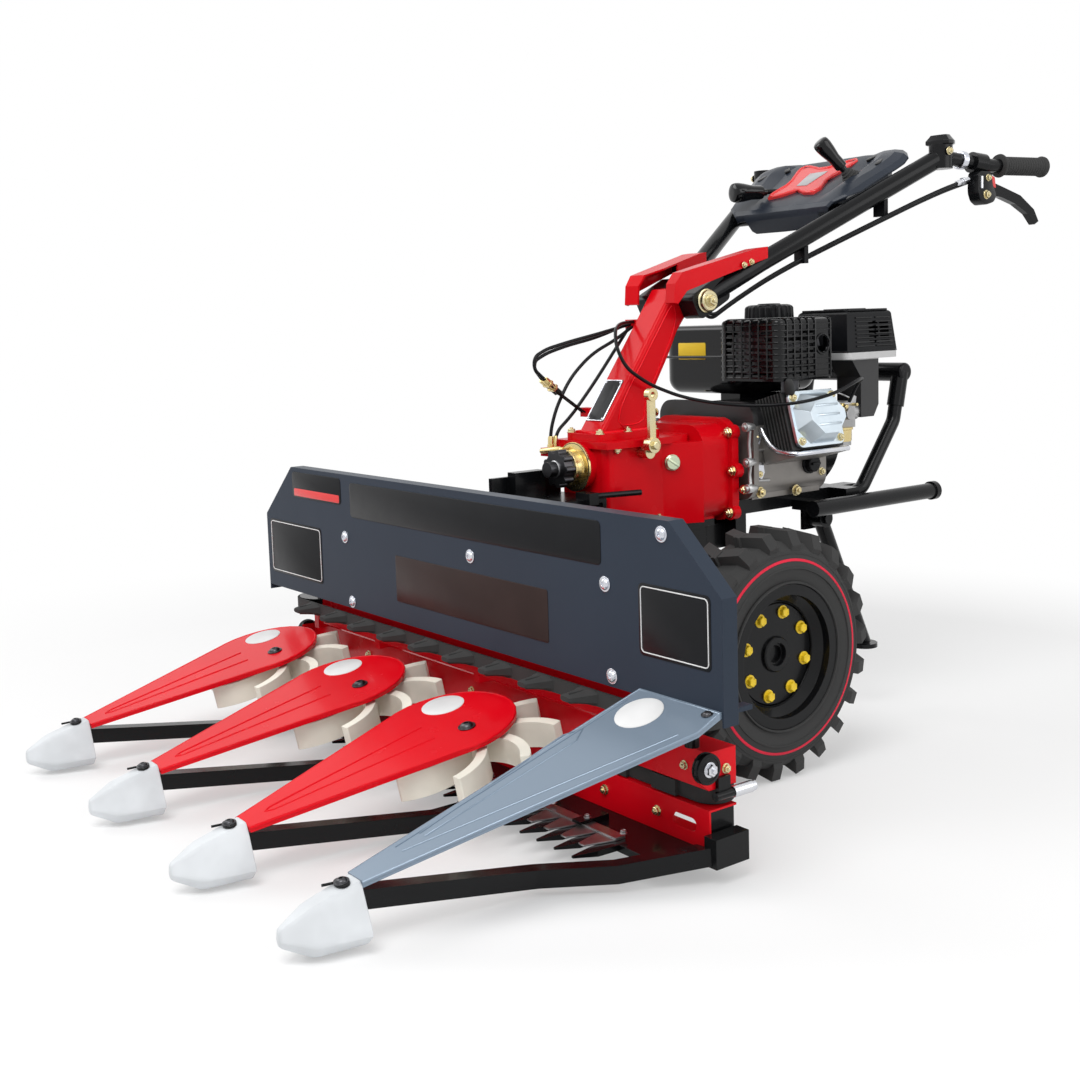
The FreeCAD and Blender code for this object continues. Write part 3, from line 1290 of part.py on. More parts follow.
def belt_loop(z_range, radius, mid_y, lug_l):
    """A belt round its two end rollers, with lugs fused on its outer face."""
    z0, z1 = z_range
    end = BELT_END_X
    outer = radius + BELT_T

    def racetrack(r):
        slab = box(-end, end, mid_y - r, mid_y + r, z0, z1)
        caps = [rod((s * end, mid_y, z0), (s * end, mid_y, z1), r) for _, s in SIDES]
        return fuse([slab] + caps)

    loop = racetrack(outer).cut(racetrack(radius))
    half = BELT_LUG_W / 2.0
    lugs = []
    count = int(2 * end / BELT_LUG_PITCH)
    first = -BELT_LUG_PITCH * (count - 1) / 2.0
    for i in range(count):
        x = first + BELT_LUG_PITCH * i
        for s in (-1, 1):
            y0 = mid_y + s * (outer - 1)
            y1 = mid_y + s * (outer + lug_l)
            lugs.append(box(x - half, x + half, min(y0, y1), max(y0, y1), z0, z1))
    return fuse([loop] + lugs)


def upper_belt():
    return belt_loop(UPPER_BELT_Z, UPPER_BELT_R, BELT_MID_Y, UPPER_LUG_L)


def lower_belt():
    return belt_loop(LOWER_BELT_Z, LOWER_BELT_R, LOWER_BELT_MID_Y, LOWER_LUG_L)


def belt_rollers():
    out = []
    for _, s in SIDES:
        x = s * BELT_END_X
        z0, z1 = UPPER_BELT_Z
        post = rod((x, BELT_MID_Y, UPPER_Z1 + CHANNEL_T), (x, BELT_MID_Y, z1 + BELT_NUT_H), BELT_POST_R)
        drum = rod((x, BELT_MID_Y, z0), (x, BELT_MID_Y, z1), UPPER_BELT_R)
        out.append(fuse([post, drum]))
        out.append(rod((x, LOWER_BELT_MID_Y, LOWER_Z1), (x, LOWER_BELT_MID_Y, UPPER_Z0), LOWER_BELT_R))
    return Part.makeCompound(out)


def cutter_bar():
    """Flat bar with its pointed guards and the clips that hold the knife down."""
    z0 = CUTBAR_Z0
    z1 = LOWER_Z0
    whole = [box(-FRAME_HALF, FRAME_HALF, CUTBAR_Y0, WEB_Y + CHANNEL_D, z0, z1)]
    last = DIV_D_X + GUARD_LAST
    count = int((last + FRAME_HALF - GUARD_END_IN) / GUARD_PITCH) + 1
    xs = [last - GUARD_PITCH * i for i in range(count)]
    whole += [guard(x) for x in xs]
    step = count // KNIFE_CLIPS
    top = KNIFE_Z0 + KNIFE_BACK_T + KNIFE_LIFT
    w = KNIFE_CLIP_HALF
    for x in xs[step // 2::step]:
        back = CUTBAR_Y0 + KNIFE_BACK_IN
        whole.append(box(x - w, x + w, back + 4, back + 28, z1, top + 4))
        whole.append(box(x - w, x + w, CUTBAR_Y0 - 2, back + 28, top, top + 4))
    trimmed = fuse(whole).cut(divider_tube_d(TUBE_S + 2 * NOSE_FIT))
    return max(trimmed.Solids, key=lambda solid: solid.Volume)


def guard(x):
    """One pointed guard finger."""
    z0 = CUTBAR_Z0 + 2
    z1 = LOWER_Z0
    wires = []
    for half, y, low in ((11, CUTBAR_Y0 + 4, z0), (9, CUTBAR_Y0 - 34, z0), (1.5, GUARD_TIP_Y, z1 - 3)):
        corners = ((-half, low), (half, low), (half, z1), (-half, z1))
        verts = [Vector(x + a, y, z) for a, z in corners]
        wires.append(Part.makePolygon(verts + verts[:1]))
    return Part.makeLoft(wires, True, True)


def knife():
    """Knife back with its row of tapered sections."""
    z0 = KNIFE_Z0
    y1 = CUTBAR_Y0 + KNIFE_BACK_IN
    y0 = y1 - KNIFE_BACK_W
    half = KNIFE_SECTION_HALF
    last = DIV_D_X + GUARD_LAST - GUARD_PITCH / 2.0
    count = int((last + FRAME_HALF - KNIFE_INSET - half) / GUARD_PITCH) + 1
    xs = [last - GUARD_PITCH * i for i in range(count)]
    back = box(xs[-1] - half, last + half, y0, y1, z0, z0 + KNIFE_BACK_T)
    sections = []
    for x in xs:
        tip_y = y0 - KNIFE_SECTION_L
        pts = [(x - half, y0 + 1), (x + half, y0 + 1), (x + 6, tip_y), (x - 6, tip_y)]
        sections.append(prism(pts, "z", z0, z0 + KNIFE_SECTION_T))
    return fuse([back] + sections)


def end_boxes():
    """Short box at each end of the cutter bar, with the small roller and pin on the upper beam's end."""
    x0 = FRAME_HALF
    block = box(x0, x0 + END_BOX_W, *END_BOX_Y, *END_BOX_Z)
    y, z = END_ROLLER_AT
    roller = rod((x0, y, z), (x0 + END_ROLLER_T, y, z), END_ROLLER_R)
    pin_x = x0 + END_PIN_R
    y0, y1 = END_PIN_Y
    pin = rod((pin_x, y0, END_PIN_Z), (pin_x, y1, END_PIN_Z), END_PIN_R)
    strap = box(x0, x0 + END_PIN_R, WEB_Y + 12, WEB_Y + 34, END_PIN_Z, UPPER_Z0 + 16)
    one = [block, roller, fuse([pin, strap])]
    return Part.makeCompound(one + [mirrored(s) for s in one])


# ---------------------------------------------------------------- dividers
def divider_tube(x, side=TUBE_S):
    start_y = NOSE_BACK_Y - TUBE_IN_NOSE
    route = [(x, start_y, TUBE_NOSE_Z), (x, TUBE_TURN_Y, TUBE_LOW_Z), (x, WEB_Y + TUBE_S, TUBE_LOW_Z)]
    return square_pipe(route, side, TUBE_BEND)


def divider_tube_d(side=TUBE_S):
    """The outlet divider's tube turns out to the end box."""
    box_y = END_BOX_Y[0]
    end_x = FRAME_HALF + END_BOX_W / 2.0
    end_z = sum(END_BOX_Z) / 2.0
    route = [
        (DIV_D_X, NOSE_BACK_Y + DIV_D_BACK - TUBE_IN_NOSE, TUBE_NOSE_Z + 4),
        (DIV_D_X + 12, -600, 42),
        (DIV_D_X + 68, -512, 42),
        (end_x, box_y + TUBE_S, end_z - 4),
    ]
    beyond = box(DIV_D_X, 2 * FRAME_HALF, box_y, 0, 0, 2 * end_z)
    return square_pipe(route, side, TUBE_BEND / 2.0).cut(beyond)


def nose(x, shift, tube):
    """Boot over the front of a divider tube: narrow at the tip, bulging low at the back."""
    wires = []
    stations = (
        (NOSE_TIP_Y, NOSE_TIP_HALF, NOSE_TIP_Z),
        (NOSE_EDGE_Y, NOSE_EDGE_HALF, NOSE_EDGE_Z),
        (NOSE_BACK_Y, NOSE_BACK_HALF, NOSE_BACK_Z),
    )
    for y, (low, wide, top), (z_low, z_wide, z_top) in stations:
        half_outline = [(top, z_top), (wide, z_wide), (low, z_low)]
        corners = half_outline + [(-a, b) for a, b in reversed(half_outline)]
        verts = [Vector(x + a, y + shift, b) for a, b in corners]
        wires.append(Part.makePolygon(verts + verts[:1]))
    return Part.makeLoft(wires, True, True).cut(tube)


def tilt_cover(shape, x, y=COVER_Y, z=COVER_Z):
    """Lay something built flat about (0, 0) onto the cover's slope."""
    out = shape.copy()
    out.rotate(Vector(0, 0, 0), Vector(1, 0, 0), COVER_TILT)
    out.translate(Vector(x, y, z))
    return out


def on_star(shape, x):
    """Lay something built flat about the star wheel's axis onto the cover's slope."""
    return tilt_cover(shape, x + STAR_OFF_X, STAR_Y, STAR_Z)


def cover(x):
    """Teardrop sheet with a rolled lip, narrow at the nose and round over the star wheel."""
    front = -(COVER_Y - NOSE_BACK_Y - NOSE_FIT) / math.cos(math.radians(COVER_TILT))
    mid = -COVER_REAR_AHEAD

    def sheet(grow, z0, z1):
        w = COVER_NOSE_HALF + grow
        r = COVER_REAR_R + grow
        end = front - grow
        reach = math.hypot(mid - end, w)
        lean = math.asin(r / reach) - math.atan2(w, mid - end)
        tx = r * math.cos(lean)
        ty = mid - r * math.sin(lean)
        a = Vector(-w, end, z0)
        b = Vector(w, end, z0)
        c = Vector(tx, ty, z0)
        d = Vector(-tx, ty, z0)
        wire = Part.Wire([
            Part.LineSegment(a, b).toShape(),
            Part.LineSegment(b, c).toShape(),
            Part.Arc(c, Vector(0, mid + r, z0), d).toShape(),
            Part.LineSegment(d, a).toShape(),
        ])
        return Part.Face(wire).extrude(Vector(0, 0, z1 - z0))

    solid = sheet(0, -COVER_LIP, 0).cut(sheet(-COVER_T, -COVER_LIP - 1, -COVER_T))
    return tilt_cover(solid, x)


def cover_d():
    """Outlet side cover: a long tapered tray from the nose to the panel's corner."""
    rear_y = PANEL_Y - SEAT_GAP
    nose_y = NOSE_BACK_Y + DIV_D_BACK
    front_y = nose_y + NOSE_FIT
    half = COVER_D_NOSE_HALF
    slope = (COVER_D_REAR_Z - COVER_D_NOSE_Z) / (rear_y - nose_y)
    out_x = HEAD_HALF - COVER_T
    t = COVER_T

    def outline(inset):
        return [
            (DIV_D_X - half + inset, front_y + inset), (DIV_D_X + half - inset, front_y + inset),
            (out_x - inset, rear_y - COVER_D_SIDE), (out_x - inset, rear_y - inset),
            (out_x - COVER_D_REAR_W + inset, rear_y - inset),
        ]

    def layer(low, high):
        ends = [(y, COVER_D_NOSE_Z + (y - nose_y) * slope) for y in (nose_y - 20, rear_y + 20)]
        side = [(y, z + low) for y, z in ends] + [(y, z + high) for y, z in reversed(ends)]
        return prism(side, "x", DIV_D_X - 200, HEAD_HALF + 20)

    slab = prism(outline(0), "z", -200, 400).common(layer(-COVER_LIP, 0))
    hollow = prism(outline(t), "z", -200, 400).common(layer(-COVER_LIP - 1, -t))
    return slab.cut(hollow)


def star_wheel(x):
    """Ring of broad swept blades that turns about the cover's tilted pin."""
    hub = rod((0, 0, STAR_LOW), (0, 0, STAR_TOP), STAR_HUB_R)
    blades = []
    for i in range(STAR_BLADES):
        blade = star_blade()
        blade.rotate(Vector(0, 0, 0), Vector(0, 0, 1), 360.0 * i / STAR_BLADES)
        blades.append(blade)
    bore = rod((0, 0, STAR_LOW - 1), (0, 0, STAR_TOP + 1), STAR_PIN_R + RUN_GAP)
    disc = rod((0, 0, STAR_LOW), (0, 0, STAR_TOP), STAR_R)
    return on_star(fuse([hub] + blades).common(disc).cut(bore), x)


def star_blade():
    """A blade of even thickness along an arc from the hub to the rim."""
    centre = Vector(STAR_R / 2.0, -math.sqrt(STAR_SWEEP_R ** 2 - (STAR_R / 2.0) ** 2), 0)
    z = Vector(0, 0, STAR_LOW)
    start = math.atan2(-centre.y, -centre.x)
    end = math.atan2(-centre.y, STAR_R - centre.x) + 0.06
    mid = (start + end) / 2.0
    outer = STAR_SWEEP_R + STAR_BLADE_T / 2.0
    inner = STAR_SWEEP_R - STAR_BLADE_T / 2.0

    def at(radius, angle):
        return centre + Vector(radius * math.cos(angle), radius * math.sin(angle), 0) + z

    wire = Part.Wire([
        Part.Arc(at(outer, start), at(outer, mid), at(outer, end)).toShape(),
        Part.LineSegment(at(outer, end), at(inner, end)).toShape(),
        Part.Arc(at(inner, end), at(inner, mid), at(inner, start)).toShape(),
        Part.LineSegment(at(inner, start), at(outer, start)).toShape(),
    ])
    return Part.Face(wire).extrude(Vector(0, 0, STAR_H))


def star_arms():
    """Flat bar from the lower beam under each star wheel, with the pin that carries it."""
    out = []
    tilt = math.radians(COVER_TILT)
    drop = (STAR_Z - STAR_ARM_Z - STAR_ARM_T / 2.0) / math.cos(tilt)
    arm_y = STAR_Y + drop * math.sin(tilt) - STAR_ARM_FRONT
    seat = -COVER_T - SEAT_GAP
    for _, x in DIVIDERS:
        pin = rod((0, 0, seat), (0, 0, STAR_LOW - END_GAP), STAR_PIN_R)
        cap = rod((0, 0, seat), (0, 0, STAR_TOP + END_GAP), STAR_PIN_R + 6)
        collar = rod((0, 0, STAR_LOW - END_GAP), (0, 0, -drop), STAR_PIN_R + 6)
        x0 = x + STAR_OFF_X - STAR_ARM_HALF
        x1 = x + STAR_OFF_X + STAR_ARM_HALF
        arm = box(x0, x1, arm_y, WEB_Y, STAR_ARM_Z, STAR_ARM_Z + STAR_ARM_T)
        out.append(fuse([on_star(fuse([pin, cap, collar]), x), arm]))
    return Part.makeCompound(out)


# ---------------------------------------------------------------- drive case and hitch
def header_gearcase():
    """Cast drive case behind the middle of the frame, with its upright."""
    back = WEB_Y + CHANNEL_D
    y0, y1 = back + DRIVE_Y[0], back + DRIVE_Y[1]
    z0, z1 = DRIVE_Z
    plate = box(-DRIVE_PLATE_HALF, DRIVE_PLATE_HALF, back, back + DRIVE_PLATE_T, UPPER_Z0, UPPER_Z1)
    neck = box(-DRIVE_NECK_HALF, DRIVE_NECK_HALF, back + DRIVE_PLATE_T, y0 + 4, UPPER_Z0 + 4, UPPER_Z1 + 24)
    body = rounded(box(-DRIVE_HALF, DRIVE_HALF, y0, y1, z0, z1), 14, (0, 0, 1))
    tower = rounded(box(-TOWER_HALF, TOWER_HALF, y0 + 6, y1 - 8, z1 - 30, HITCH_Z), 10, (0, 0, 1))
    cap = box(-TOWER_CAP_HALF, TOWER_CAP_HALF, y0 - 2, y1, HITCH_Z - TOWER_CAP_T, HITCH_Z)
    return fuse([plate, neck, body, tower, cap])


def hitch_box():
    """Hitch between the drive case's upright and the gearbox's front face, with its release lever."""
    x0, x1 = HITCH_X
    z = HITCH_Z
    top = z + HITCH_T
    y0, y1 = HITCH_BLOCK_Y
    low = box(x0, x1, HITCH_Y0, GEARBOX_Y0, z, top)
    cheek = box(x0, x0 + HITCH_T, HITCH_Y0, GEARBOX_Y0, top, top + HITCH_CHEEK_H)
    block = box(x0 + HITCH_T, x0 + 30, y0, y1, top, HITCH_BLOCK_Z1)
    face = box(x0, x1, GEARBOX_Y0 - HITCH_T, GEARBOX_Y0, z - HITCH_FACE_H, z + 4)
    lug = box(x1 - 20, x1 + 16, y1, y1 + 20, z, z + 20)
    lever = rod((x1 + 9, y1 + 20, z + 14), (x1 + 30, y1 + 100, z + 14), HITCH_LEVER_R)
    return fuse([low, cheek, block, face, lug, lever])


# ---------------------------------------------------------------- control cables
def cables_machine():
    """Cables that run from the column's top to the clutch, the gearbox and the engine."""
    guide_y, guide_z = CABLE_GUIDES[0]
    low_y, low_z = CABLE_GUIDES[1]
    stop_top = CABLE_STOP_Z[1]
    out = []
    for x, tuck in ((-45.0, 0.0), (-53.0, 7.0)):
        route = [
            (x, guide_y, guide_z), (x, -66, 728 - tuck), (x, -135, 716 - tuck), (x, -186 + tuck, 705 - tuck),
            (x, -212 + tuck, 693 - tuck), (x, -214 + tuck, 672), (x, -190, 652),
        ]
        out.append(cable(route, CABLE_R))
        adjuster_end = (x, -160, 629)
        out.append(rod((x, -190, 652), adjuster_end, ADJUSTER_R))
        out.append(rod(adjuster_end, (x, low_y, low_z), WIRE_R))
    clutch = [
        (-40.0, guide_y, guide_z - 5), (-45, -30, 716), (-50, -84, 692), (-54, -130, 652), (-56, -160, 602),
        (-56, -173, 566), (-56, -175, stop_top),
    ]
    out.append(cable(clutch, CABLE_R))
    shift = [
        (-50.0, guide_y, guide_z - 7), (-50, -30, 696), (-52, -78, 640), (-56, -126, 588), (-58, -158, 562),
        (-58, -165, stop_top),
    ]
    out.append(cable(shift, CABLE_R))
    return Part.makeCompound(out).cut(column()).cut(gearbox())


def cable_engine():
    """Throttle cable in front of the column and round the cylinder head to the carburettor."""
    guide_y, guide_z = CABLE_GUIDES[0]
    route = [
        (-36.0, guide_y, guide_z + 4), (-14, -48, 744), (20, -88, 732), (42, -104, 702), (48, -88, 668),
        (50, -38, 638), (54, 34, 612), (82, 99, 597), (134, 150, 592), (196, 184, 598), (226, 232, 612),
        (226, 286, 630), (208, 326, 634), (178, 346, 620), (160, 346, 588),
    ]
    return cable(route, CABLE_R)


def cables_handlebar():
    """Two cables clipped under the left arm, from the arm's eye up to the control lever."""
    lines = []
    for x_in, drop in ((0.0, 0.0), (8.0, 7.0)):
        route = [
            (62 - x_in, 84, 759), (65 - x_in, 104, 753 - drop), (70 - x_in, 150, 779 - drop),
            (86 - x_in, 214, 815 - drop), (110 - x_in, 284, 850 - drop), (146 - x_in, 356, 886 - drop),
            (182 - x_in, 430, 922 - drop), (206 - x_in, 492, 950 - drop), (224 - x_in, 548, 972 - drop),
            (237 - x_in, 610, 990 - drop),
        ]
        lines.append(cable(route, CABLE_R))
    half = CABLE_CLIP_W / 2.0
    clips = []
    for y in CABLE_CLIPS_Y:
        x = ARM_KNEE[0] + (y - ARM_KNEE[1]) * (ARM_TOP[0] - ARM_KNEE[0]) / (ARM_TOP[1] - ARM_KNEE[1])
        z = arm_height(y)
        low_z = z - ARM_R - CABLE_CLIP_H
        clips.append(box(x - 2 * CABLE_CLIP_W, x + half, y - half, y + half, low_z, z))
    return fuse(lines + clips).cut(handle_tubes()).cut(control_lever())



# ---------------------------------------------------------------- export
save("lower_case", lower_case())
save("gearbox", gearbox())
save("pto_clutch", pto_clutch())
save("selector_lever", selector_lever())
save("column", column())
save("handle_tubes", handle_tubes())
save("arm_bracket_left", arm_bracket(1))
save("arm_bracket_right", arm_bracket(-1))
save("console", console())
save("console_trim", console_trim())
save("gear_levers", gear_levers())
save("grips", grips())
save("control_lever", control_lever())
save("throttle", throttle())
save("crankcase", crankcase())
save("cylinder", cylinder())
save("valve_cover", valve_cover())
save("muffler_guard", muffler_guard())
save("muffler", muffler())
save("air_cleaner", air_cleaner())
save("air_cleaner_base", air_cleaner_base())
save("carburettor", carburettor())
save("fuel_tank", fuel_tank())
save("tank_cap", tank_cap())
save("recoil", recoil())
save("engine_frame", engine_frame())
save("guard_hoop", guard_hoop())
save("tow_tube", tow_tube())
save("stand_bracket", stand_bracket())
save("stand_leg", stand_leg())
save("header_panel", header_panel())
save("panel_gussets", panel_gussets())
save("frame_upper", frame_upper())
save("frame_lower", frame_lower())
save("upper_belt", upper_belt())
save("lower_belt", lower_belt())
save("belt_rollers", belt_rollers())
save("cutter_bar", cutter_bar())
save("knife", knife())
save("end_boxes", end_boxes())
save("star_arms", star_arms())
save("header_gearcase", header_gearcase())
save("hitch_box", hitch_box())
save("cover_d", cover_d())
save("cables_machine", Part.makeCompound([cables_machine(), cable_engine().cut(column())]))
save("cables_handlebar", cables_handlebar())
save("divider_tubes", Part.makeCompound([divider_tube(x) for _, x in DIVIDERS] + [divider_tube_d()]))
loose = TUBE_S + 2 * NOSE_FIT
boots = [nose(x, 0.0, divider_tube(x, loose)) for _, x in DIVIDERS]
boots.append(nose(DIV_D_X, DIV_D_BACK, divider_tube_d(loose)))
save("noses", Part.makeCompound(boots))
for name, x in DIVIDERS:
    save("cover_" + name, cover(x))
    save("star_wheel_" + name, star_wheel(x))
for name, s in SIDES:
    for node, piece in (("tyre_", tyre()), ("rim_", rim()), ("hub_", hub())):
        save(node + name, piece if s > 0 else mirrored(piece))
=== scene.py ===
"""Looks of a walk-behind reaper: finishes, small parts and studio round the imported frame."""
import json
import logging
import math
from dataclasses import dataclass, field
from enum import Enum

import bmesh
import bpy
from mathutils import Matrix, Vector


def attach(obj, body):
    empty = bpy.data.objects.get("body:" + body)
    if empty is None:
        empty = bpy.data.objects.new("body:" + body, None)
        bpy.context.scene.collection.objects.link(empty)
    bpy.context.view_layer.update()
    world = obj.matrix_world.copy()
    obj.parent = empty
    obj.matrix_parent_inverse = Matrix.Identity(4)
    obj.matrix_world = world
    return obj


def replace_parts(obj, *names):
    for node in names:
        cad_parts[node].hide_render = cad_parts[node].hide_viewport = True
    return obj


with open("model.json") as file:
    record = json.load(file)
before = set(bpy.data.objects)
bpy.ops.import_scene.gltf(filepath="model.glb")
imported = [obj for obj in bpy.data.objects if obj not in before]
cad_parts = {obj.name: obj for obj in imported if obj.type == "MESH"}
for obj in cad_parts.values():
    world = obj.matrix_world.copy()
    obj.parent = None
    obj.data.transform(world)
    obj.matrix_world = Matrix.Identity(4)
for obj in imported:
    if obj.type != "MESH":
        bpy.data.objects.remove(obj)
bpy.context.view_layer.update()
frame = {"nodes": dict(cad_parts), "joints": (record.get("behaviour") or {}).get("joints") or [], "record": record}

LOG = logging.getLogger("reaper")
Colour = tuple[float, float, float]


# ---------------------------------------------------------------- node trees
class Value:
    """A node's output socket that takes part in written maths."""

    def __init__(self, tree: "NodeTree", socket: bpy.types.NodeSocket) -> None:
        """Wrap one output socket of a tree."""
        self.tree = tree
        self.socket = socket

    def maths(self, operation: str, *others: "Value | float") -> "Value":
        """Add a Math node.

        Args:
            operation: the Math node's operation.
            others: the values of its further sockets.

        Returns:
            The node's result.
        """
        made = self.tree.node("ShaderNodeMath", {"operation": operation}, *((self,) + others))
        return made["Value"]

    def __add__(self, other: "Value | float") -> "Value":
        """Sum."""
        return self.maths("ADD", other)

    def __mul__(self, other: "Value | float") -> "Value":
        """Product."""
        return self.maths("MULTIPLY", other)

    def __rsub__(self, other: float) -> "Value":
        """Difference from a plain number."""
        return self.maths("MULTIPLY", -1.0) + other

    def above(self, low: float, high: float) -> "Value":
        """Smooth step, which falls instead of rising where low is the larger.

        Args:
            low: where the step is 0.
            high: where the step is 1.

        Returns:
            The step's value, from 0 to 1.
        """
        made = self.tree.node(
            "ShaderNodeMapRange",
            {"interpolation_type": "SMOOTHSTEP", "clamp": True},
            **{"Value": self, "From Min": min(low, high), "From Max": max(low, high)},
        )
        return made["Result"] if low < high else 1.0 - made["Result"]


class NodeTree:
    """Adds nodes to a shader or geometry tree."""

    def __init__(self, tree: bpy.types.NodeTree) -> None:
        """Start from a tree, emptied."""
        self.tree = tree
        tree.nodes.clear()

    def node(
        self, kind: str, settings: dict | None = None, *values: object, **named: object
    ) -> dict[str, Value]:
        """Add one node.

        Args:
            kind: the node's type name.
            settings: its settings, set before its sockets.
            values: values or links of its first sockets, in order.
            named: values or links of sockets by name.

        Returns:
            Its output sockets by name.
        """
        made = self.tree.nodes.new(kind)
        for key, value in (settings or {}).items():
            setattr(made, key, value)
        for socket, value in zip([s for s in made.inputs if s.enabled], values):
            self._feed(socket, value)
        for key, value in named.items():
            sockets = [s for s in made.inputs if s.name == key and s.enabled]
            self._feed(sockets[0], value)
        return {s.name: Value(self, s) for s in reversed(made.outputs) if s.enabled}

    def _feed(self, socket: bpy.types.NodeSocket, value: object) -> None:
        """Link a socket, or set it to a plain value.

        Args:
            socket: the input socket.
            value: a link's source, a plain value, or None to leave the socket as it is.
        """
        if isinstance(value, Value):
            self.tree.links.new(value.socket, socket)
        elif isinstance(value, tuple) and len(value) == 3 and socket.type == "RGBA":
            socket.default_value = (*value, 1.0)
        elif value is not None:
            socket.default_value = value


class Shader(NodeTree):
    """A material's tree with the pattern makers that the finishes share."""

    def __init__(self, name: str) -> None:
        """Make a material with an empty tree.

        Args:
            name: the material's name.
        """
        self.material = bpy.data.materials.new(name)
        self.material.use_nodes = True
        super().__init__(self.material.node_tree)
        self.place = self.node("ShaderNodeTexCoord")["Object"]

    def noise(self, scale: float, detail: float = 2.0, stretch: Colour = (1.0, 1.0, 1.0)) -> Value:
        """Soft noise on Object coordinates.

        Args:
            scale: waves per metre.
            detail: how many finer layers it has.
            stretch: factors on x, y and z.

        Returns:
            The noise, from 0 to 1.
        """
        where = self.node("ShaderNodeMapping", None, Vector=self.place, Scale=stretch)["Vector"]
        made = self.node("ShaderNodeTexNoise", None, Vector=where, Scale=scale, Detail=detail)
        return made["Fac"] if "Fac" in made else made["Factor"]

    def mix(self, share: Value | float, first: Value | Colour, second: Value | Colour) -> Value:
        """Blend two colours.

        Args:
            share: how much of the second shows.
            first: the colour at share 0.
            second: the colour at share 1.

        Returns:
            The blended colour.
        """
        made = self.tree.nodes.new("ShaderNodeMix")
        made.data_type = "RGBA"
        self._feed(made.inputs[0], share)
        self._feed(made.inputs[6], first)
        self._feed(made.inputs[7], second)
        return Value(self, made.outputs[2])

    def edge(self, radius: float) -> tuple[Value, Value]:
        """Rounded-edge normal, and a mask that is 1 on sharp edges.

        Args:
            radius: width of the rounding in metres.

        Returns:
            The normal and the mask.
        """
        soft = self.node("ShaderNodeBevel", {"samples": 4}, Radius=radius)["Normal"]
        true = self.node("ShaderNodeNewGeometry")["Normal"]
        alike = self.node("ShaderNodeVectorMath", {"operation": "DOT_PRODUCT"}, soft, true)["Value"]
        return soft, alike.above(0.97, 0.80)

    def bump(self, relief: Value, depth: float, normal: Value | None = None) -> Value:
        """Normal of a bump of a depth in metres."""
        sockets = {"Height": relief, "Distance": depth, "Strength": 1.0, "Normal": normal}
        return self.node("ShaderNodeBump", None, **sockets)["Normal"]

    def finish(self, **sockets: object) -> bpy.types.Material:
        """End the tree in a Principled shader.

        Args:
            sockets: values or links of its sockets by name.

        Returns:
            The material.
        """
        surface = self.node("ShaderNodeBsdfPrincipled", None, **sockets)["BSDF"]
        self.node("ShaderNodeOutputMaterial", None, surface)
        return self.material


# ---------------------------------------------------------------- finishes
COAT_IOR = 1.35
SOOT: Colour = (0.03, 0.03, 0.03)
# Grey of the rubber's dust in its grain, and also of the painted highlight on its sharp edges.
DUST_AND_EDGE_SHEEN: Colour = (0.10, 0.10, 0.10)


@dataclass(frozen=True)
class Enamel:
    """Sprayed paint: clear gloss over a colour, orange peel, dulled and worn at the edges, which also carry a
    painted highlight.
    """

    name: str
    colour: Colour
    roughness: float = 0.22
    coat: float = 0.6
    peel: float = 0.00002
    wear: float = 0.2
    under: Colour = (0.30, 0.29, 0.28)
    gloss: float = 0.22

    def make(self) -> bpy.types.Material:
        """Build the material.

        Returns:
            The material.
        """
        s = Shader(self.name)
        soft, rim = s.edge(0.0012)
        broad = s.noise(5.0, 2.0)
        fine = s.noise(260.0)
        darker = tuple(c * 0.93 for c in self.colour)
        body = s.mix(broad.above(0.3, 0.7), darker, self.colour)
        chips = rim * s.noise(240.0).above(0.6, 0.68) * self.wear
        # Painted highlight: every sharp edge is lightened a little, evenly, as if light caught it.
        colour = s.mix(rim * 0.12, body, tuple(min(1.0, c * 1.3 + 0.02) for c in self.colour))
        colour = s.mix(chips, colour, self.under)
        rough = s.noise(24.0, 4.0) * 0.08 + (self.roughness - 0.04) + chips * 0.2
        return s.finish(**{
            "Base Color": colour, "Roughness": rough, "Specular IOR Level": self.gloss,
            "Coat Weight": self.coat, "Coat Roughness": 0.10, "Coat IOR": COAT_IOR,
            "Normal": s.bump(fine, self.peel, soft),
        })


@dataclass(frozen=True)
class Cast:
    """Bare or dull-painted casting: grainy skin, darker in random clouds, with a painted highlight on its sharp
    edges.
    """

    name: str
    colour: Colour
    metallic: float = 0.9
    roughness: float = 0.42
    grain: float = 0.00004

    def make(self) -> bpy.types.Material:
        """Build the material.

        Returns:
            The material.
        """
        s = Shader(self.name)
        soft, rim = s.edge(0.0016)
        pits = s.noise(700.0, 3.0)
        cloud = s.noise(18.0, 4.0)
        darker = tuple(c * 0.62 for c in self.colour)
        painted_highlight = tuple(min(1.0, c * 1.2) for c in self.colour)
        colour = s.mix(cloud.above(0.3, 0.72), darker, self.colour)
        # Painted highlight: the sharp edges are mixed halfway to a brighter copy of the colour.
        colour = s.mix(rim * 0.5, colour, painted_highlight)
        rough = pits * 0.2 + (self.roughness - 0.1)
        return s.finish(**{
            "Base Color": colour, "Roughness": rough, "Metallic": self.metallic,
            "Normal": s.bump(pits, self.grain, soft),
        })


@dataclass(frozen=True)
class Plated:
    """Zinc or chrome plate: bright metal with faint cloudy iridescence and fine brushing."""

    name: str
    colour: Colour
    tint: Colour
    roughness: float = 0.26

    def make(self) -> bpy.types.Material:
        """Build the material.

        Returns:
            The material.
        """
        s = Shader(self.name)
        soft, _ = s.edge(0.0008)
        cloud = s.noise(22.0, 2.0)
        brush = s.noise(300.0, 2.0, (1.0, 0.15, 1.0))
        colour = s.mix(cloud.above(0.38, 0.66), self.colour, self.tint)
        rough = brush * 0.16 + (self.roughness - 0.08)
        return s.finish(**{
            "Base Color": colour, "Roughness": rough, "Metallic": 1.0,
            "Normal": s.bump(brush, 0.00001, soft),
        })


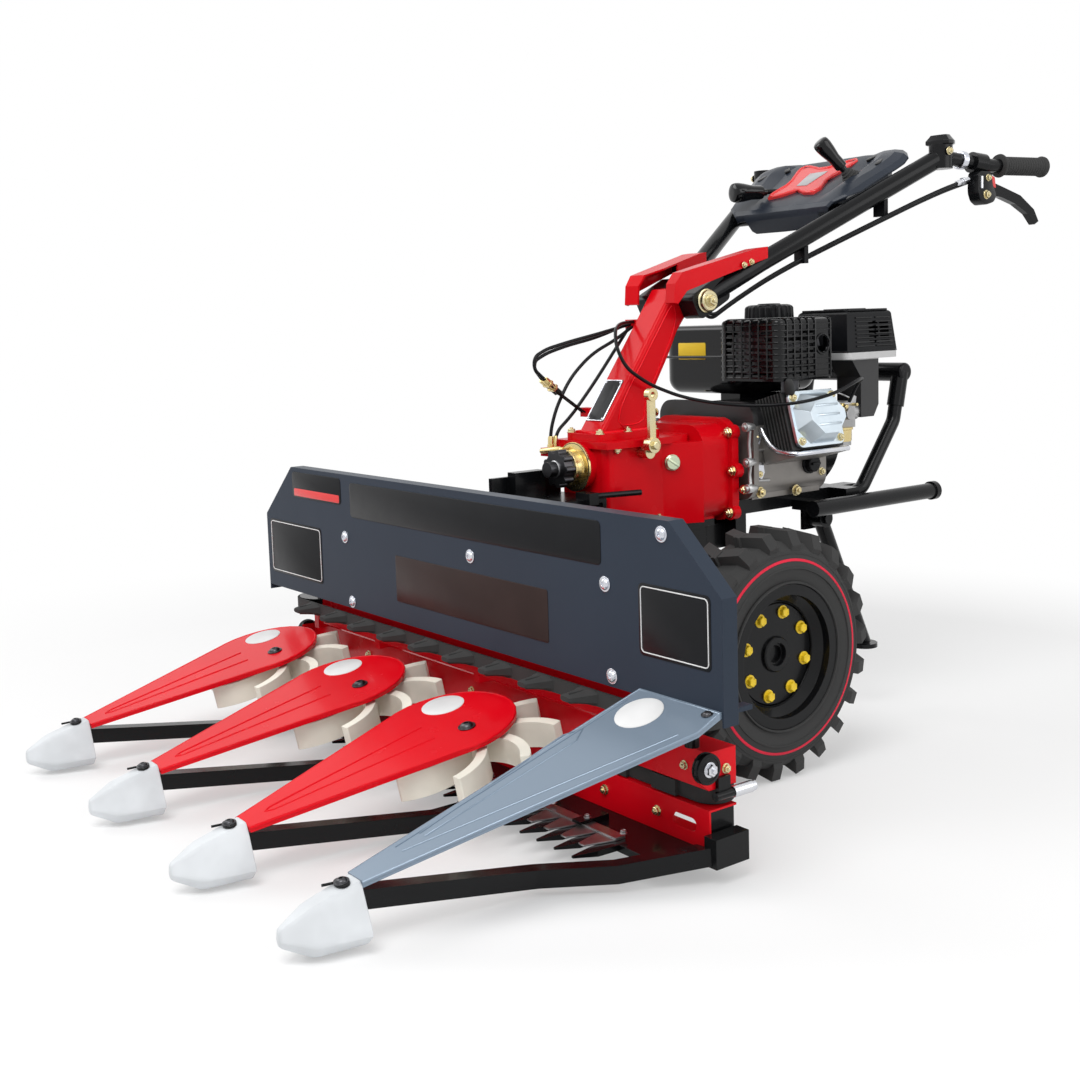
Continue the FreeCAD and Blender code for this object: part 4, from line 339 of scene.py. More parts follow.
@dataclass(frozen=True)
class Moulded:
    """Moulded plastic or nylon: fine texture and a soft sheen."""

    name: str
    colour: Colour
    roughness: float = 0.4
    texture: float = 0.00002
    coat: float = 0.0
    gloss: float = 0.25

    def make(self) -> bpy.types.Material:
        """Build the material.

        Returns:
            The material.
        """
        s = Shader(self.name)
        soft, rim = s.edge(0.0015)
        stipple = s.noise(1400.0)
        cloud = s.noise(12.0, 3.0)
        darker = tuple(c * 0.85 for c in self.colour)
        colour = s.mix(cloud.above(0.35, 0.7), darker, self.colour)
        scuffs = rim * s.noise(90.0).above(0.48, 0.7)
        colour = s.mix(scuffs * 0.15, colour, tuple(min(1.0, c * 1.3 + 0.03) for c in self.colour))
        rough = s.noise(30.0, 3.0) * 0.16 + (self.roughness - 0.08)
        return s.finish(**{
            "Base Color": colour, "Roughness": rough, "Specular IOR Level": self.gloss,
            "Coat Weight": self.coat, "Coat IOR": COAT_IOR,
            "Normal": s.bump(stipple, self.texture, soft),
        })


@dataclass(frozen=True)
class Rubber:
    """Moulded rubber: matt, dusty in its grain, with a painted highlight that greys its sharp edges."""

    name: str
    colour: Colour
    dust_and_sheen: float = 0.06

    def make(self) -> bpy.types.Material:
        """Build the material.

        Returns:
            The material.
        """
        s = Shader(self.name)
        soft, rim = s.edge(0.002)
        grain = s.noise(600.0, 3.0)
        bloom = s.noise(26.0, 4.0).above(0.42, 0.75)
        # Dust in the grain's blooms, plus a painted highlight: the sharp edges are greyed evenly.
        colour = s.mix(bloom * self.dust_and_sheen + rim * self.dust_and_sheen, self.colour, DUST_AND_EDGE_SHEEN)
        rough = grain * 0.2 + 0.55
        return s.finish(**{
            "Base Color": colour, "Roughness": rough, "Specular IOR Level": 0.11,
            "Normal": s.bump(grain, 0.00005, soft),
        })


@dataclass(frozen=True)
class Banded:
    """A stacked part whose finish changes with height on the level machine.

    Each band is (start in mm, colour, metallic, roughness), from the lowest up.
    """

    name: str
    bands: tuple[tuple[float, Colour, float, float], ...]
    grain: float = 0.00002
    seam: float = 0.3

    def make(self) -> bpy.types.Material:
        """Build the material.

        Returns:
            The material.
        """
        s = Shader(self.name)
        soft, _ = s.edge(0.001)
        up = LEVEL.inverted()[2]
        dot = {"operation": "DOT_PRODUCT"}
        height = s.node("ShaderNodeVectorMath", dot, s.place, tuple(up[:3]))["Value"] + up[3]
        pits = s.noise(500.0, 3.0)
        _, colour, metallic, rough = self.bands[0]
        for before, after in zip(self.bands, self.bands[1:]):
            share = height.above(after[0] - self.seam, after[0] + self.seam)
            colour = s.mix(share, colour, after[1])
            metallic = share * (after[2] - before[2]) + metallic
            rough = share * (after[3] - before[3]) + rough
        colour = s.mix(s.noise(40.0, 3.0) * 0.25, colour, SOOT)
        return s.finish(**{
            "Base Color": colour, "Roughness": pits * 0.12 + rough, "Metallic": metallic,
            "Normal": s.bump(pits, self.grain, soft),
        })


class Look(Enum):
    """Every finish on the machine."""

    RED = Enamel("gloss_red", (0.74, 0.002, 0.010), roughness=0.26, coat=0.18, wear=0.05, gloss=0.10)
    CAST_RED = Enamel("cast_red", (0.60, 0.002, 0.007), roughness=0.26, coat=0.14, wear=0.05, gloss=0.06)
    RED_PLASTIC = Moulded("red_plastic", (0.78, 0.005, 0.013), roughness=0.28, coat=0.2)
    BLACK = Enamel(
        "satin_black", (0.0045, 0.0048, 0.0055), roughness=0.26, coat=0.2, wear=0.05, gloss=0.14,
    )
    SLATE = Enamel("slate_blue", (0.026, 0.036, 0.054), roughness=0.40, coat=0.05, wear=0.1, gloss=0.10)
    BLUE_GREY = Enamel("blue_grey", (0.112, 0.152, 0.198), roughness=0.24, coat=0.5, wear=0.15)
    WHITE = Moulded("white_plastic", (0.70, 0.725, 0.75), roughness=0.38)
    IVORY = Moulded("ivory_nylon", (0.92, 0.88, 0.77), roughness=0.42)
    ZINC = Plated("yellow_zinc", (0.66, 0.56, 0.32), (0.62, 0.56, 0.36))
    STEEL = Plated("ground_steel", (0.46, 0.46, 0.47), (0.36, 0.36, 0.37), roughness=0.32)
    ALUMINIUM = Cast("die_cast", (0.50, 0.50, 0.50))
    FINS = Cast("black_fins", (0.02, 0.02, 0.02), metallic=0.0, roughness=0.6)
    BLACK_PLASTIC = Moulded("black_plastic", (0.005, 0.0054, 0.0066), roughness=0.30, gloss=0.16)
    GREY_PLASTIC = Moulded("grey_plastic", (0.30, 0.31, 0.31), roughness=0.45)
    DASH = Moulded("dash_plastic", (0.020, 0.026, 0.038), roughness=0.34, coat=0.1)
    RUBBER = Rubber("rubber", (0.0045, 0.0045, 0.005), dust_and_sheen=0.04)
    LABEL = Moulded(
        "vinyl_plate", (0.007, 0.0075, 0.009), roughness=0.34, texture=0.00003, coat=0.08, gloss=0.14,
    )
    PRINT = Moulded("white_print", (0.80, 0.80, 0.80), roughness=0.4, texture=0.00003)
    LABEL_SILVER = Moulded("silver_plate", (0.42, 0.42, 0.43), roughness=0.34, texture=0.00004, coat=0.3)
    BROWN_LABEL = Moulded("brown_plate", (0.034, 0.020, 0.018), roughness=0.36, texture=0.00003, gloss=0.12)
    YELLOW_LABEL = Moulded("yellow_plate", (0.95, 0.66, 0.03), roughness=0.4, texture=0.00003)
    STRIPE = Moulded("tyre_stripe", (0.70, 0.012, 0.045), roughness=0.5)
    GLOSS_BLACK = Enamel(
        "gloss_black", (0.003, 0.0032, 0.004), roughness=0.12, coat=0.45, wear=0.05, gloss=0.16,
    )
    BLACK_METAL = Plated("black_oxide", (0.05, 0.05, 0.055), (0.08, 0.08, 0.085), roughness=0.34)
    SILVER = Plated("bright_zinc", (0.66, 0.67, 0.70), (0.58, 0.60, 0.66), roughness=0.24)
    VALVE = Plated("cover_alloy", (0.66, 0.74, 0.80), (0.60, 0.68, 0.74), roughness=0.34)
    YELLOW = Enamel("yellow_paint", (0.86, 0.60, 0.02), roughness=0.3, wear=0.1)
    GOLD = Plated("brass_zinc", (0.70, 0.55, 0.24), (0.66, 0.54, 0.27), roughness=0.26)
    CRANKCASE = Banded("cast_case", (
        (0.0, (0.25, 0.235, 0.22), 0.7, 0.36), (556.0, (0.010, 0.010, 0.011), 0.0, 0.4),
    ))
    INTAKE_BASE = Banded("intake_base", (
        (0.0, (0.010, 0.010, 0.011), 0.0, 0.36), (662.0, (0.52, 0.52, 0.52), 0.0, 0.42),
    ))
    OLIVE = Plated("pale_zinc", (0.56, 0.62, 0.44), (0.50, 0.58, 0.42), roughness=0.3)

    def material(self) -> bpy.types.Material:
        """The finish's material, built when it is first asked for."""
        found = bpy.data.materials.get(self.value.name)
        return found or self.value.make()


SLOT_LOOK = {
    "red": Look.RED, "red_plastic": Look.RED_PLASTIC, "black": Look.BLACK, "slate": Look.SLATE,
    "blue_grey": Look.BLUE_GREY, "white": Look.WHITE, "ivory": Look.IVORY, "zinc": Look.ZINC,
    "steel": Look.STEEL, "aluminium": Look.ALUMINIUM, "cast": Look.FINS,
    "plastic_black": Look.BLACK_PLASTIC, "plastic_grey": Look.GREY_PLASTIC,
    "plastic_grey_dark": Look.DASH, "rubber": Look.RUBBER,
}
OWN_LOOK = {
    "crankcase": Look.CRANKCASE, "air_cleaner_base": Look.INTAKE_BASE, "valve_cover": Look.VALVE,
    "fuel_tank": Look.GLOSS_BLACK, "pto_clutch": Look.BLACK_METAL, "muffler": Look.BLACK_METAL,
    "gearbox": Look.CAST_RED, "column": Look.CAST_RED,
    "arm_bracket_left": Look.CAST_RED, "arm_bracket_right": Look.CAST_RED,
    "muffler_guard": Look.GLOSS_BLACK, "carburettor": Look.ALUMINIUM,
}


class Dresser:
    """Gives each CAD node the finish of its record slot."""

    def __init__(self) -> None:
        """Read the record's slots."""
        self.slots = {s["node"]: s["material_slot"] for s in frame["record"]["subparts"]}

    def dress(self, node: str, look: Look | None = None) -> None:
        """Put a finish on a CAD node.

        Args:
            node: the node's name.
            look: the finish, by default its slot's.
        """
        obj = frame["nodes"][node]
        chosen = look or SLOT_LOOK[self.slots[node]]
        obj.data.materials.clear()
        obj.data.materials.append(chosen.material())

    def dress_all(self) -> None:
        """Dress every node that is still shown."""
        for node in frame["nodes"]:
            self.dress(node, OWN_LOOK.get(node))
            LOG.info("dressed %s", node)


# ---------------------------------------------------------------- level frame
# From here to the studio, sizes are in millimetres on the machine stood level:
# x to its left from the middle, y backwards from the axle, z up from the floor.
Point = tuple[float, float, float]
Flat = tuple[float, float]
COVER_TILT = 12.0
COVER_BACK: Flat = (-520.0, 180.0)
AXLE_Z = 205.0
ARM_KNEE: Flat = (205.0, 843.0)
ARM_TOP: Point = (216.0, 536.0, 1026.0)
DASH_Y = 385.0
CRANK: Point = (0.0, 240.0, 520.0)
CYLINDER_TILT = 15.0
FRONT: Point = (0.0, -1.0, 0.0)
BACK: Point = (0.0, 1.0, 0.0)
LEFT: Point = (1.0, 0.0, 0.0)
RIGHT: Point = (-1.0, 0.0, 0.0)
UP: Point = (0.0, 0.0, 1.0)
DOWN: Point = (0.0, 0.0, -1.0)


def level_frame() -> Matrix:
    """Matrix from the machine stood level, in millimetres, to the row's frame in metres.

    The wheel joint gives the axle's place, and the star wheels' tilt gives the machine's lean.

    Returns:
        The matrix.
    """
    joints = {j["name"]: j for j in frame["joints"]}
    axle = Vector(joints["wheel_left_spin"]["pos_m"])
    axis = joints["star_wheel_a_spin"]["axis"]
    lean = math.atan2(-axis[1], axis[2]) - math.radians(COVER_TILT)
    at_axle = Matrix.Translation((0.0, axle.y, axle.z)) @ Matrix.Rotation(lean, 4, "X")
    return at_axle @ Matrix.Translation((0.0, 0.0, -axle.z)) @ Matrix.Scale(0.001, 4)


LEVEL = level_frame()


def facing(at: Point, normal: Point, up: Point = UP) -> Matrix:
    """Axes on a surface: x across it, y up along it and z out of it.

    Args:
        at: their origin.
        normal: the way out of the surface.
        up: a direction that y keeps close to.

    Returns:
        The axes.
    """
    z = Vector(normal).normalized()
    x = Vector(up).cross(z).normalized()
    return Matrix.Translation(at) @ Matrix((x, z.cross(x), z)).transposed().to_4x4()


def along(start: Point, end: Point) -> Matrix:
    """Axes at a point with z towards another."""
    way = Vector(end) - Vector(start)
    return Matrix.Translation(start) @ way.to_track_quat("Z", "Y").to_matrix().to_4x4()


def on_cover(x: float) -> Matrix:
    """Axes on a red cover's sloping top: x across, y backwards, z out of it."""
    return Matrix.Translation((x, *COVER_BACK)) @ Matrix.Rotation(math.radians(COVER_TILT), 4, "X")


def on_arms() -> Matrix:
    """Axes of the dash.

    Returns:
        Axes with x across, y up along the arms and z out of them.
    """
    slope = math.atan2(ARM_TOP[2] - ARM_KNEE[1], ARM_TOP[1] - ARM_KNEE[0])
    lift = ARM_KNEE[1] + (DASH_Y - ARM_KNEE[0]) * math.tan(slope)
    return Matrix.Translation((0.0, DASH_Y, lift)) @ Matrix.Rotation(slope, 4, "X")


def on_cylinder() -> Matrix:
    """Turn that leans the cylinder.

    Returns:
        The matrix from where a piece would be on an upright engine to its place.
    """
    middle = Vector(CRANK)
    tilt = Matrix.Rotation(math.radians(-CYLINDER_TILT), 4, "Y")
    return Matrix.Translation(middle) @ tilt @ Matrix.Translation(-middle)


def circle(count: int, radius: float = 1.0, middle: Flat = (0.0, 0.0), start: float = 0.0) -> list[Flat]:
    """Points set evenly round a circle, anticlockwise.

    Args:
        count: how many.
        radius: the circle's radius.
        middle: its middle.
        start: how far the first is turned, in steps.

    Returns:
        The points.
    """
    turns = (2.0 * math.pi * (i + start) / count for i in range(count))
    return [(middle[0] + radius * math.cos(a), middle[1] + radius * math.sin(a)) for a in turns]


def rounded(width: float, height: float, radius: float, middle: Flat = (0.0, 0.0)) -> list[Flat]:
    """Outline of a rectangle with round corners, anticlockwise.

    Args:
        width: its width.
        height: its height.
        radius: the corners' radius.
        middle: its middle.

    Returns:
        The outline.
    """
    out = []
    for k, (sx, sy) in enumerate(((1, 1), (-1, 1), (-1, -1), (1, -1))):
        cx = middle[0] + sx * (width / 2.0 - radius)
        cy = middle[1] + sy * (height / 2.0 - radius)
        for i in range(6):
            a = math.pi / 2.0 * (k + i / 5.0)
            out.append((cx + radius * math.cos(a), cy + radius * math.sin(a)))
    return out


def inset(outline: list[Flat], by: float) -> list[Flat]:
    """Move an anticlockwise outline inwards.

    Args:
        outline: its corners.
        by: how far each side moves.

    Returns:
        The new corners.
    """
    out = []
    for i, here in enumerate(outline):
        into = (Vector(here) - Vector(outline[i - 1])).normalized()
        away = (Vector(outline[(i + 1) % len(outline)]) - Vector(here)).normalized()
        a, b = Vector((-into.y, into.x)), Vector((-away.y, away.x))
        step = (a + b) * (by / max(0.3, 1.0 + a.dot(b)))
        out.append((here[0] + step.x, here[1] + step.y))
    return out


def cut_corners(outline: list[Vector], rounds: int = 2, share: float = 0.22) -> list[Vector]:
    """Smooth a closed outline by cutting its corners.

    Args:
        outline: its corners.
        rounds: how many times they are cut.
        share: how much of each side goes at each of its ends.

    Returns:
        The new corners.
    """
    for _ in range(rounds):
        made = []
        for i, here in enumerate(outline):
            after = outline[(i + 1) % len(outline)]
            made += [here.lerp(after, share), here.lerp(after, 1.0 - share)]
        outline = made
    return outline


def cut_line(route: list[Vector], share: float = 0.3) -> list[Vector]:
    """Cut each inner corner of an open route once.

    Args:
        route: its points.
        share: how much of each part goes at a corner.

    Returns:
        The new points, with the same ends.
    """
    out = [route[0]]
    for before, here, after in zip(route[:-2], route[1:-1], route[2:]):
        out += [here.lerp(before, share), here.lerp(after, share)]
    return out + [route[-1]]


# ---------------------------------------------------------------- pieces
def hand_over(
    name: str, mesh: bpy.types.Mesh, look: Look, body: str, sharp: float = 35.0
) -> bpy.types.Object:
    """Finish a mesh made in level millimetres and let it ride.

    Args:
        name: the piece's name.
        mesh: its mesh.
        look: its finish.
        body: the body that it rides on.
        sharp: edges that turn by more degrees than this stay sharp.

    Returns:
        The finished object, at the origin.
    """
    mesh.transform(LEVEL)
    mesh.shade_smooth()
    mesh.set_sharp_from_angle(angle=math.radians(sharp))
    mesh.materials.clear()
    mesh.materials.append(look.material())
    piece = bpy.data.objects.new(name, mesh)
    bpy.context.scene.collection.objects.link(piece)
    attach(piece, body)
    LOG.info("piece %s: %d faces on %s", name, len(mesh.polygons), body)
    return piece


class Piece:
    """A mesh built in level millimetres."""

    def __init__(self, name: str, look: Look, slot: str, body: str = "machine") -> None:
        """Start an empty piece."""
        self.name, self.look, self.slot, self.body = name, look, slot, body
        self.bm = bmesh.new()

    def skin(self, rings: list[list[Vector]], closed: bool = False) -> None:
        """Join rings of points with faces.

        Args:
            rings: the rings, each with as many points.
            closed: join the last to the first instead of capping both.
        """
        loops = [[self.bm.verts.new(p) for p in ring] for ring in rings]
        pairs = list(zip(loops, loops[1:]))
        if closed:
            pairs.append((loops[-1], loops[0]))
        for low, high in pairs:
            for i in range(len(low)):
                j = (i + 1) % len(low)
                self.bm.faces.new((low[i], low[j], high[j], high[i]))
        if not closed:
            self.bm.faces.new(list(reversed(loops[0])))
            self.bm.faces.new(loops[-1])

    def lathe(self, profile: list[Flat], place: Matrix, sides: int = 24, closed: bool = False) -> None:
        """Turn a profile about an axis.

        Args:
            profile: its points, as (distance along, radius).
            place: axes whose z is the axis.
            sides: points in each ring.
            closed: the profile closes on itself, for a hollow ring.
        """
        turn = circle(sides)
        self.skin([[place @ Vector((r * x, r * y, z)) for x, y in turn] for z, r in profile], closed)

    def slab(
        self, outline: list[Flat], place: Matrix, low: float, high: float, bevel: float = 0.0
    ) -> None:
        """Push an outline out along z.

        Args:
            outline: its corners, anticlockwise.
            place: axes whose x and y the outline lies on.
            low: where it starts.
            high: where it ends.
            bevel: width of the bevel round its top.
        """
        layers = [(low, outline), (high - bevel, outline)]
        if bevel:
            layers += [(high - bevel * 0.3, inset(outline, bevel * 0.3)), (high, inset(outline, bevel))]
        self.skin([[place @ Vector((x, y, z)) for x, y in line] for z, line in layers])

    def tube(
        self, points: list[Vector | Point], radius: float, sides: int = 8, closed: bool = False
    ) -> None:
        """Sweep a circle along points.

        Args:
            points: the route.
            radius: the circle's radius.
            sides: its points.
            closed: the route ends where it starts.
        """
        route = [Vector(p) for p in points]
        turn = circle(sides)
        side = None
        rings = []
        for i, here in enumerate(route):
            before = route[i - 1] if i or closed else here
            after = route[(i + 1) % len(route)] if i < len(route) - 1 or closed else here
            way = (after - before).normalized()
            side = (way.orthogonal() if side is None else side - way * side.dot(way)).normalized()
            up = way.cross(side)
            rings.append([here + (side * x + up * y) * radius for x, y in turn])
        self.skin(rings, closed)

    def mesh(self) -> bpy.types.Mesh:
        """Close the work on the piece.

        Returns:
            Its mesh, with the faces turned outwards.
        """
        bmesh.ops.recalc_face_normals(self.bm, faces=self.bm.faces)
        mesh = bpy.data.meshes.new(self.name)
        self.bm.to_mesh(mesh)
        self.bm.free()
        return mesh

    def finish(self, sharp: float = 35.0) -> bpy.types.Object:
        """Hand the piece over, with edges that turn by more degrees than this kept sharp."""
        return hand_over(self.name, self.mesh(), self.look, self.body, sharp)


@dataclass(frozen=True)
class Place:
    """Where a repeated unit sits, which way it points and how large it is."""

    at: Point
    aim: Point
    size: float = 1.0


class Scatter:
    """Geometry nodes that set one unit at many places and join them into one mesh."""

    def __init__(self) -> None:
        """Build the node group with its named inputs, and the units."""
        self.group = bpy.data.node_groups.new("scatter", "GeometryNodeTree")
        sockets = (
            ("Geometry", "INPUT", "NodeSocketGeometry"), ("Unit", "INPUT", "NodeSocketObject"),
            ("Finish", "INPUT", "NodeSocketMaterial"), ("Geometry", "OUTPUT", "NodeSocketGeometry"),
        )
        for name, way, kind in sockets:
            self.group.interface.new_socket(name, in_out=way, socket_type=kind)
        t = NodeTree(self.group)
        given = t.node("NodeGroupInput")
        unit = t.node("GeometryNodeObjectInfo", None, Object=given["Unit"])["Geometry"]
        read = "GeometryNodeInputNamedAttribute"
        aim = t.node(read, {"data_type": "FLOAT_VECTOR"}, Name="aim")["Attribute"]
        size = t.node(read, {"data_type": "FLOAT"}, Name="size")["Attribute"]
        turn = t.node("FunctionNodeAlignRotationToVector", {"axis": "Z"}, Vector=aim)["Rotation"]
        placed = t.node(
            "GeometryNodeInstanceOnPoints", None,
            Points=given["Geometry"], Instance=unit, Rotation=turn, Scale=size,
        )["Instances"]
        real = t.node("GeometryNodeRealizeInstances", None, Geometry=placed)["Geometry"]
        done = t.node("GeometryNodeSetMaterial", None, Geometry=real, Material=given["Finish"])["Geometry"]
        t.node("NodeGroupOutput", None, done)
        self.units = {
            "hex": self._unit("hex_unit", [
                ([(0.0, 9.4), (1.3, 9.4), (1.6, 9.0)], 20),
                ([(1.5, 7.6), (6.4, 7.6), (7.4, 6.5)], 6),
                ([(7.2, 3.6), (9.6, 3.6), (10.3, 2.9)], 10),
            ]),
            "head": self._unit("head_unit", [
                ([(0.0, 9.8), (1.3, 9.8), (1.6, 9.4)], 20),
                ([(1.5, 7.4), (6.8, 7.4), (7.9, 6.4), (7.9, 5.2), (7.3, 4.6)], 6),
            ]),
            "button": self._unit("button_unit", [
                ([(0.0, 11.4), (1.2, 11.4), (1.5, 11.0)], 24),
                ([(1.4, 8.6), (2.6, 8.4), (4.4, 6.8), (5.4, 4.6), (5.5, 3.0), (3.2, 2.8)], 24),
            ]),
        }

    def _unit(self, name: str, lathes: list[tuple[list[Flat], int]]) -> bpy.types.Object:
        """Make a turned unit in millimetres, standing on its origin.

        Args:
            name: its name.
            lathes: its turned parts, each a profile and its number of sides.

        Returns:
            The unit.
        """
        piece = Piece(name, Look.ZINC, "zinc")
        for profile, sides in lathes:
            piece.lathe(profile, Matrix.Identity(4), sides)
        unit = bpy.data.objects.new(name, piece.mesh())
        bpy.context.scene.collection.objects.link(unit)
        return unit

    def spread(
        self, name: str, unit: str, places: list[Place], look: Look, slot: str, body: str = "machine"
    ) -> bpy.types.Object:
        """Set a unit at every place.

        Args:
            name: the piece's name.
            unit: which unit.
            places: where it goes.
            look: the finish.
            slot: the record's material slot; not used.
            body: the body that they all ride on.

        Returns:
            The finished piece.
        """
        mesh = bpy.data.meshes.new(name)
        mesh.from_pydata([p.at for p in places], [], [])
        mesh.attributes.new("aim", "FLOAT_VECTOR", "POINT")
        mesh.attributes.new("size", "FLOAT", "POINT")
        aims = [part for place in places for part in place.aim]
        mesh.attributes["aim"].data.foreach_set("vector", aims)
        mesh.attributes["size"].data.foreach_set("value", [place.size for place in places])
        cloud = bpy.data.objects.new(name + "_cloud", mesh)
        bpy.context.scene.collection.objects.link(cloud)
        modifier = cloud.modifiers.new("scatter", "NODES")
        modifier.node_group = self.group
        sockets = self.group.interface.items_tree
        inputs = {s.name: s.identifier for s in sockets if s.in_out == "INPUT"}
        modifier[inputs["Unit"]] = self.units[unit]
        modifier[inputs["Finish"]] = look.material()
        seen = cloud.evaluated_get(bpy.context.evaluated_depsgraph_get())
        made = bpy.data.meshes.new_from_object(seen)
        bpy.data.objects.remove(cloud)
        return hand_over(name, made, look, body)

    def close(self) -> None:
        """Remove the units."""
        for unit in self.units.values():
            bpy.data.objects.remove(unit)


def both_sides(places: list[Place]) -> list[Place]:
    """Places and their mirror images, the images last."""
    return places + [Place((-p.at[0], *p.at[1:]), (-p.aim[0], *p.aim[1:]), p.size) for p in places]


# ---------------------------------------------------------------- cutting header
DIVIDERS = (-457.0, -150.0, 157.0)
DIV_D = 420.0
DIV_D_BACK = 22.0
NOSES: tuple[Flat, ...] = (*((x, 0.0) for x in DIVIDERS), (DIV_D, DIV_D_BACK))


@dataclass
class Header:
    """Panel plates, bolts, belt fingers and end fittings.

    A channel is (front, rear, low, high), the belt is (half its straight run, middle, half its
    width), a plate is (left edge, right edge, low, high, whether it has a printed border), and a
    button is (x, z).
    """

    scatter: Scatter
    front: float = -445.0
    beam: float = -395.0
    channel: tuple[float, float, float, float] = (-392.0, -346.0, 57.0, 106.0)
    channel_end: float = 534.0
    belt: tuple[float, float, float] = (506.0, -391.0, 48.0)
    belt_z: Flat = (221.0, 243.0)
    roller: Point = (540.0, -405.0, 170.0)
    pin: Point = (546.0, -350.0, 128.0)
    buttons: tuple[Flat, ...] = (
        (-309.0, 384.0), (82.0, 397.0), (401.0, 398.0), (514.0, 478.0), (-292.0, 270.0), (411.0, 273.0),
    )
    plates: tuple[tuple[float, float, float, float, bool], ...] = (
        (-286.0, 394.0, 422.0, 483.0, False), (-604.0, -398.0, 286.0, 390.0, True),
        (468.0, 600.0, 314.0, 410.0, True), (-503.0, -318.0, 440.0, 488.0, False),
    )

    def dress(self) -> None:
        """Build every piece."""
        self._plates()
        self._fasteners()
        self._fingers()
        self._ends()

    def _face(self) -> Matrix:
        """Axes on the panel's front: x towards the machine's left, y up."""
        return facing((0.0, self.front, 0.0), FRONT)

    def _plates(self) -> None:
        """Blank plates, two of them with printed borders, and a red band."""
        face = self._face()
        dark = Piece("panel_plates", Look.LABEL, "plastic_black")
        lines = Piece("panel_plate_lines", Look.PRINT, "white")
        for x0, x1, z0, z1, bordered in self.plates:
            middle = ((x0 + x1) / 2.0, (z0 + z1) / 2.0)
            wide, high = x1 - x0, z1 - z0
            dark.slab(rounded(wide, high, 8.0, middle), face, 0.0, 0.7, 0.3)
            if bordered:
                edge = rounded(wide - 9.0, high - 9.0, 6.0, middle)
                lines.tube([face @ Vector((x, y, 0.7)) for x, y in edge], 0.9, 6, True)
        dark.finish()
        lines.finish()
        brown = Piece("panel_plate_brown", Look.BROWN_LABEL, "plastic_black")
        brown.slab(rounded(414.0, 78.0, 4.0, (67.0, 333.0)), face, 0.0, 0.6, 0.3)
        brown.finish()
        band = Piece("panel_plate_band", Look.RED_PLASTIC, "red_plastic")
        band.slab(rounded(172.0, 14.0, 3.0, (-410.0, 450.0)), face, 0.6, 1.1, 0.2)
        band.finish()

    def _fasteners(self) -> None:
        """Button heads on the panel, and bolts on the beams, the rollers and the cutter bar."""
        heads = [Place((x, self.front, z), FRONT, 0.95) for x, z in self.buttons]
        self.scatter.spread("panel_buttons", "button", heads, Look.SILVER, "steel")
        beam = [Place((x, self.beam, 82.0), FRONT, 0.8) for x in range(-440, 441, 110)]
        beam += [Place((x, self.beam, 160.0), FRONT, 0.7) for x in range(-495, 500, 165)]
        beam += both_sides([Place((540.0, -364.0, 160.0), LEFT, 0.75)])
        self.scatter.spread("beam_bolts", "hex", beam, Look.ZINC, "zinc")
        x, y, z = self.roller
        rollers = both_sides([Place((x + 12.0, y, z), LEFT, 1.1)])
        self.scatter.spread("roller_bolts", "hex", rollers, Look.SILVER, "steel")
        first, pitch = DIV_D + 14.0, 76.2
        clips = [Place((first - pitch * k, -452.0, 62.5), UP, 0.55) for k in range(13)]
        self.scatter.spread("knife_bolts", "head", clips, Look.STEEL, "steel")

    def _fingers(self) -> None:
        """The upper belt's rubber band with its fingers."""
        belt = Piece("belt_fingers", Look.RUBBER, "rubber")
        end, middle, outer = self.belt
        low, high = self.belt_z
        rings = []
        for centre, start in ((end, -math.pi / 2.0), (-end, math.pi / 2.0)):
            for i in range(13):
                a = start + math.pi * i / 12.0
                x, y = centre + outer * math.cos(a), middle + outer * math.sin(a)
                way = Vector((x - centre, y - middle)).normalized() * 4.0
                inner = (x - way.x, y - way.y)
                rings.append([Vector((x, y, low)), Vector((x, y, high)),
                              Vector((*inner, high)), Vector((*inner, low))])
        belt.skin(rings, True)
        for k in range(10):
            for side in (-1, 1):
                self._finger(belt, -450.0 + 100.0 * k, middle + side * (outer - 1.0), side)
        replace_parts(belt.finish(), "upper_belt")

    def _finger(self, belt: Piece, x: float, y: float, side: int) -> None:
        """Add a finger that is tapered, ribbed and bent a little.

        Args:
            belt: the belt's piece.
            x: the finger's place across the machine.
            y: where it leaves the belt.
            side: 1 on the run at the back, -1 on the run in front.
        """
        stations = (
            (0.0, 24.0, 12.0), (8.0, 19.0, 9.0), (22.0, 15.0, 6.5), (32.0, 12.0, 5.0), (34.5, 9.0, 3.5),
        )
        level = sum(self.belt_z) / 2.0
        rings = []
        for out, half, thick in stations:
            bend = x + side * out * 0.28
            corners = [(-half, -thick), (half, -thick), (half, thick), (-half, thick)]
            line = [Vector((bend + a, y + side * out, level + b)) for a, b in corners]
            rings.append(cut_corners(line, 1))
        belt.skin(rings)
        for lift in (-1, 1):
            root = (x, y, level + lift * 9.0)
            belt.tube([root, (x + side * 8.0, y + side * 28.0, level + lift * 5.6)], 2.2, 6)

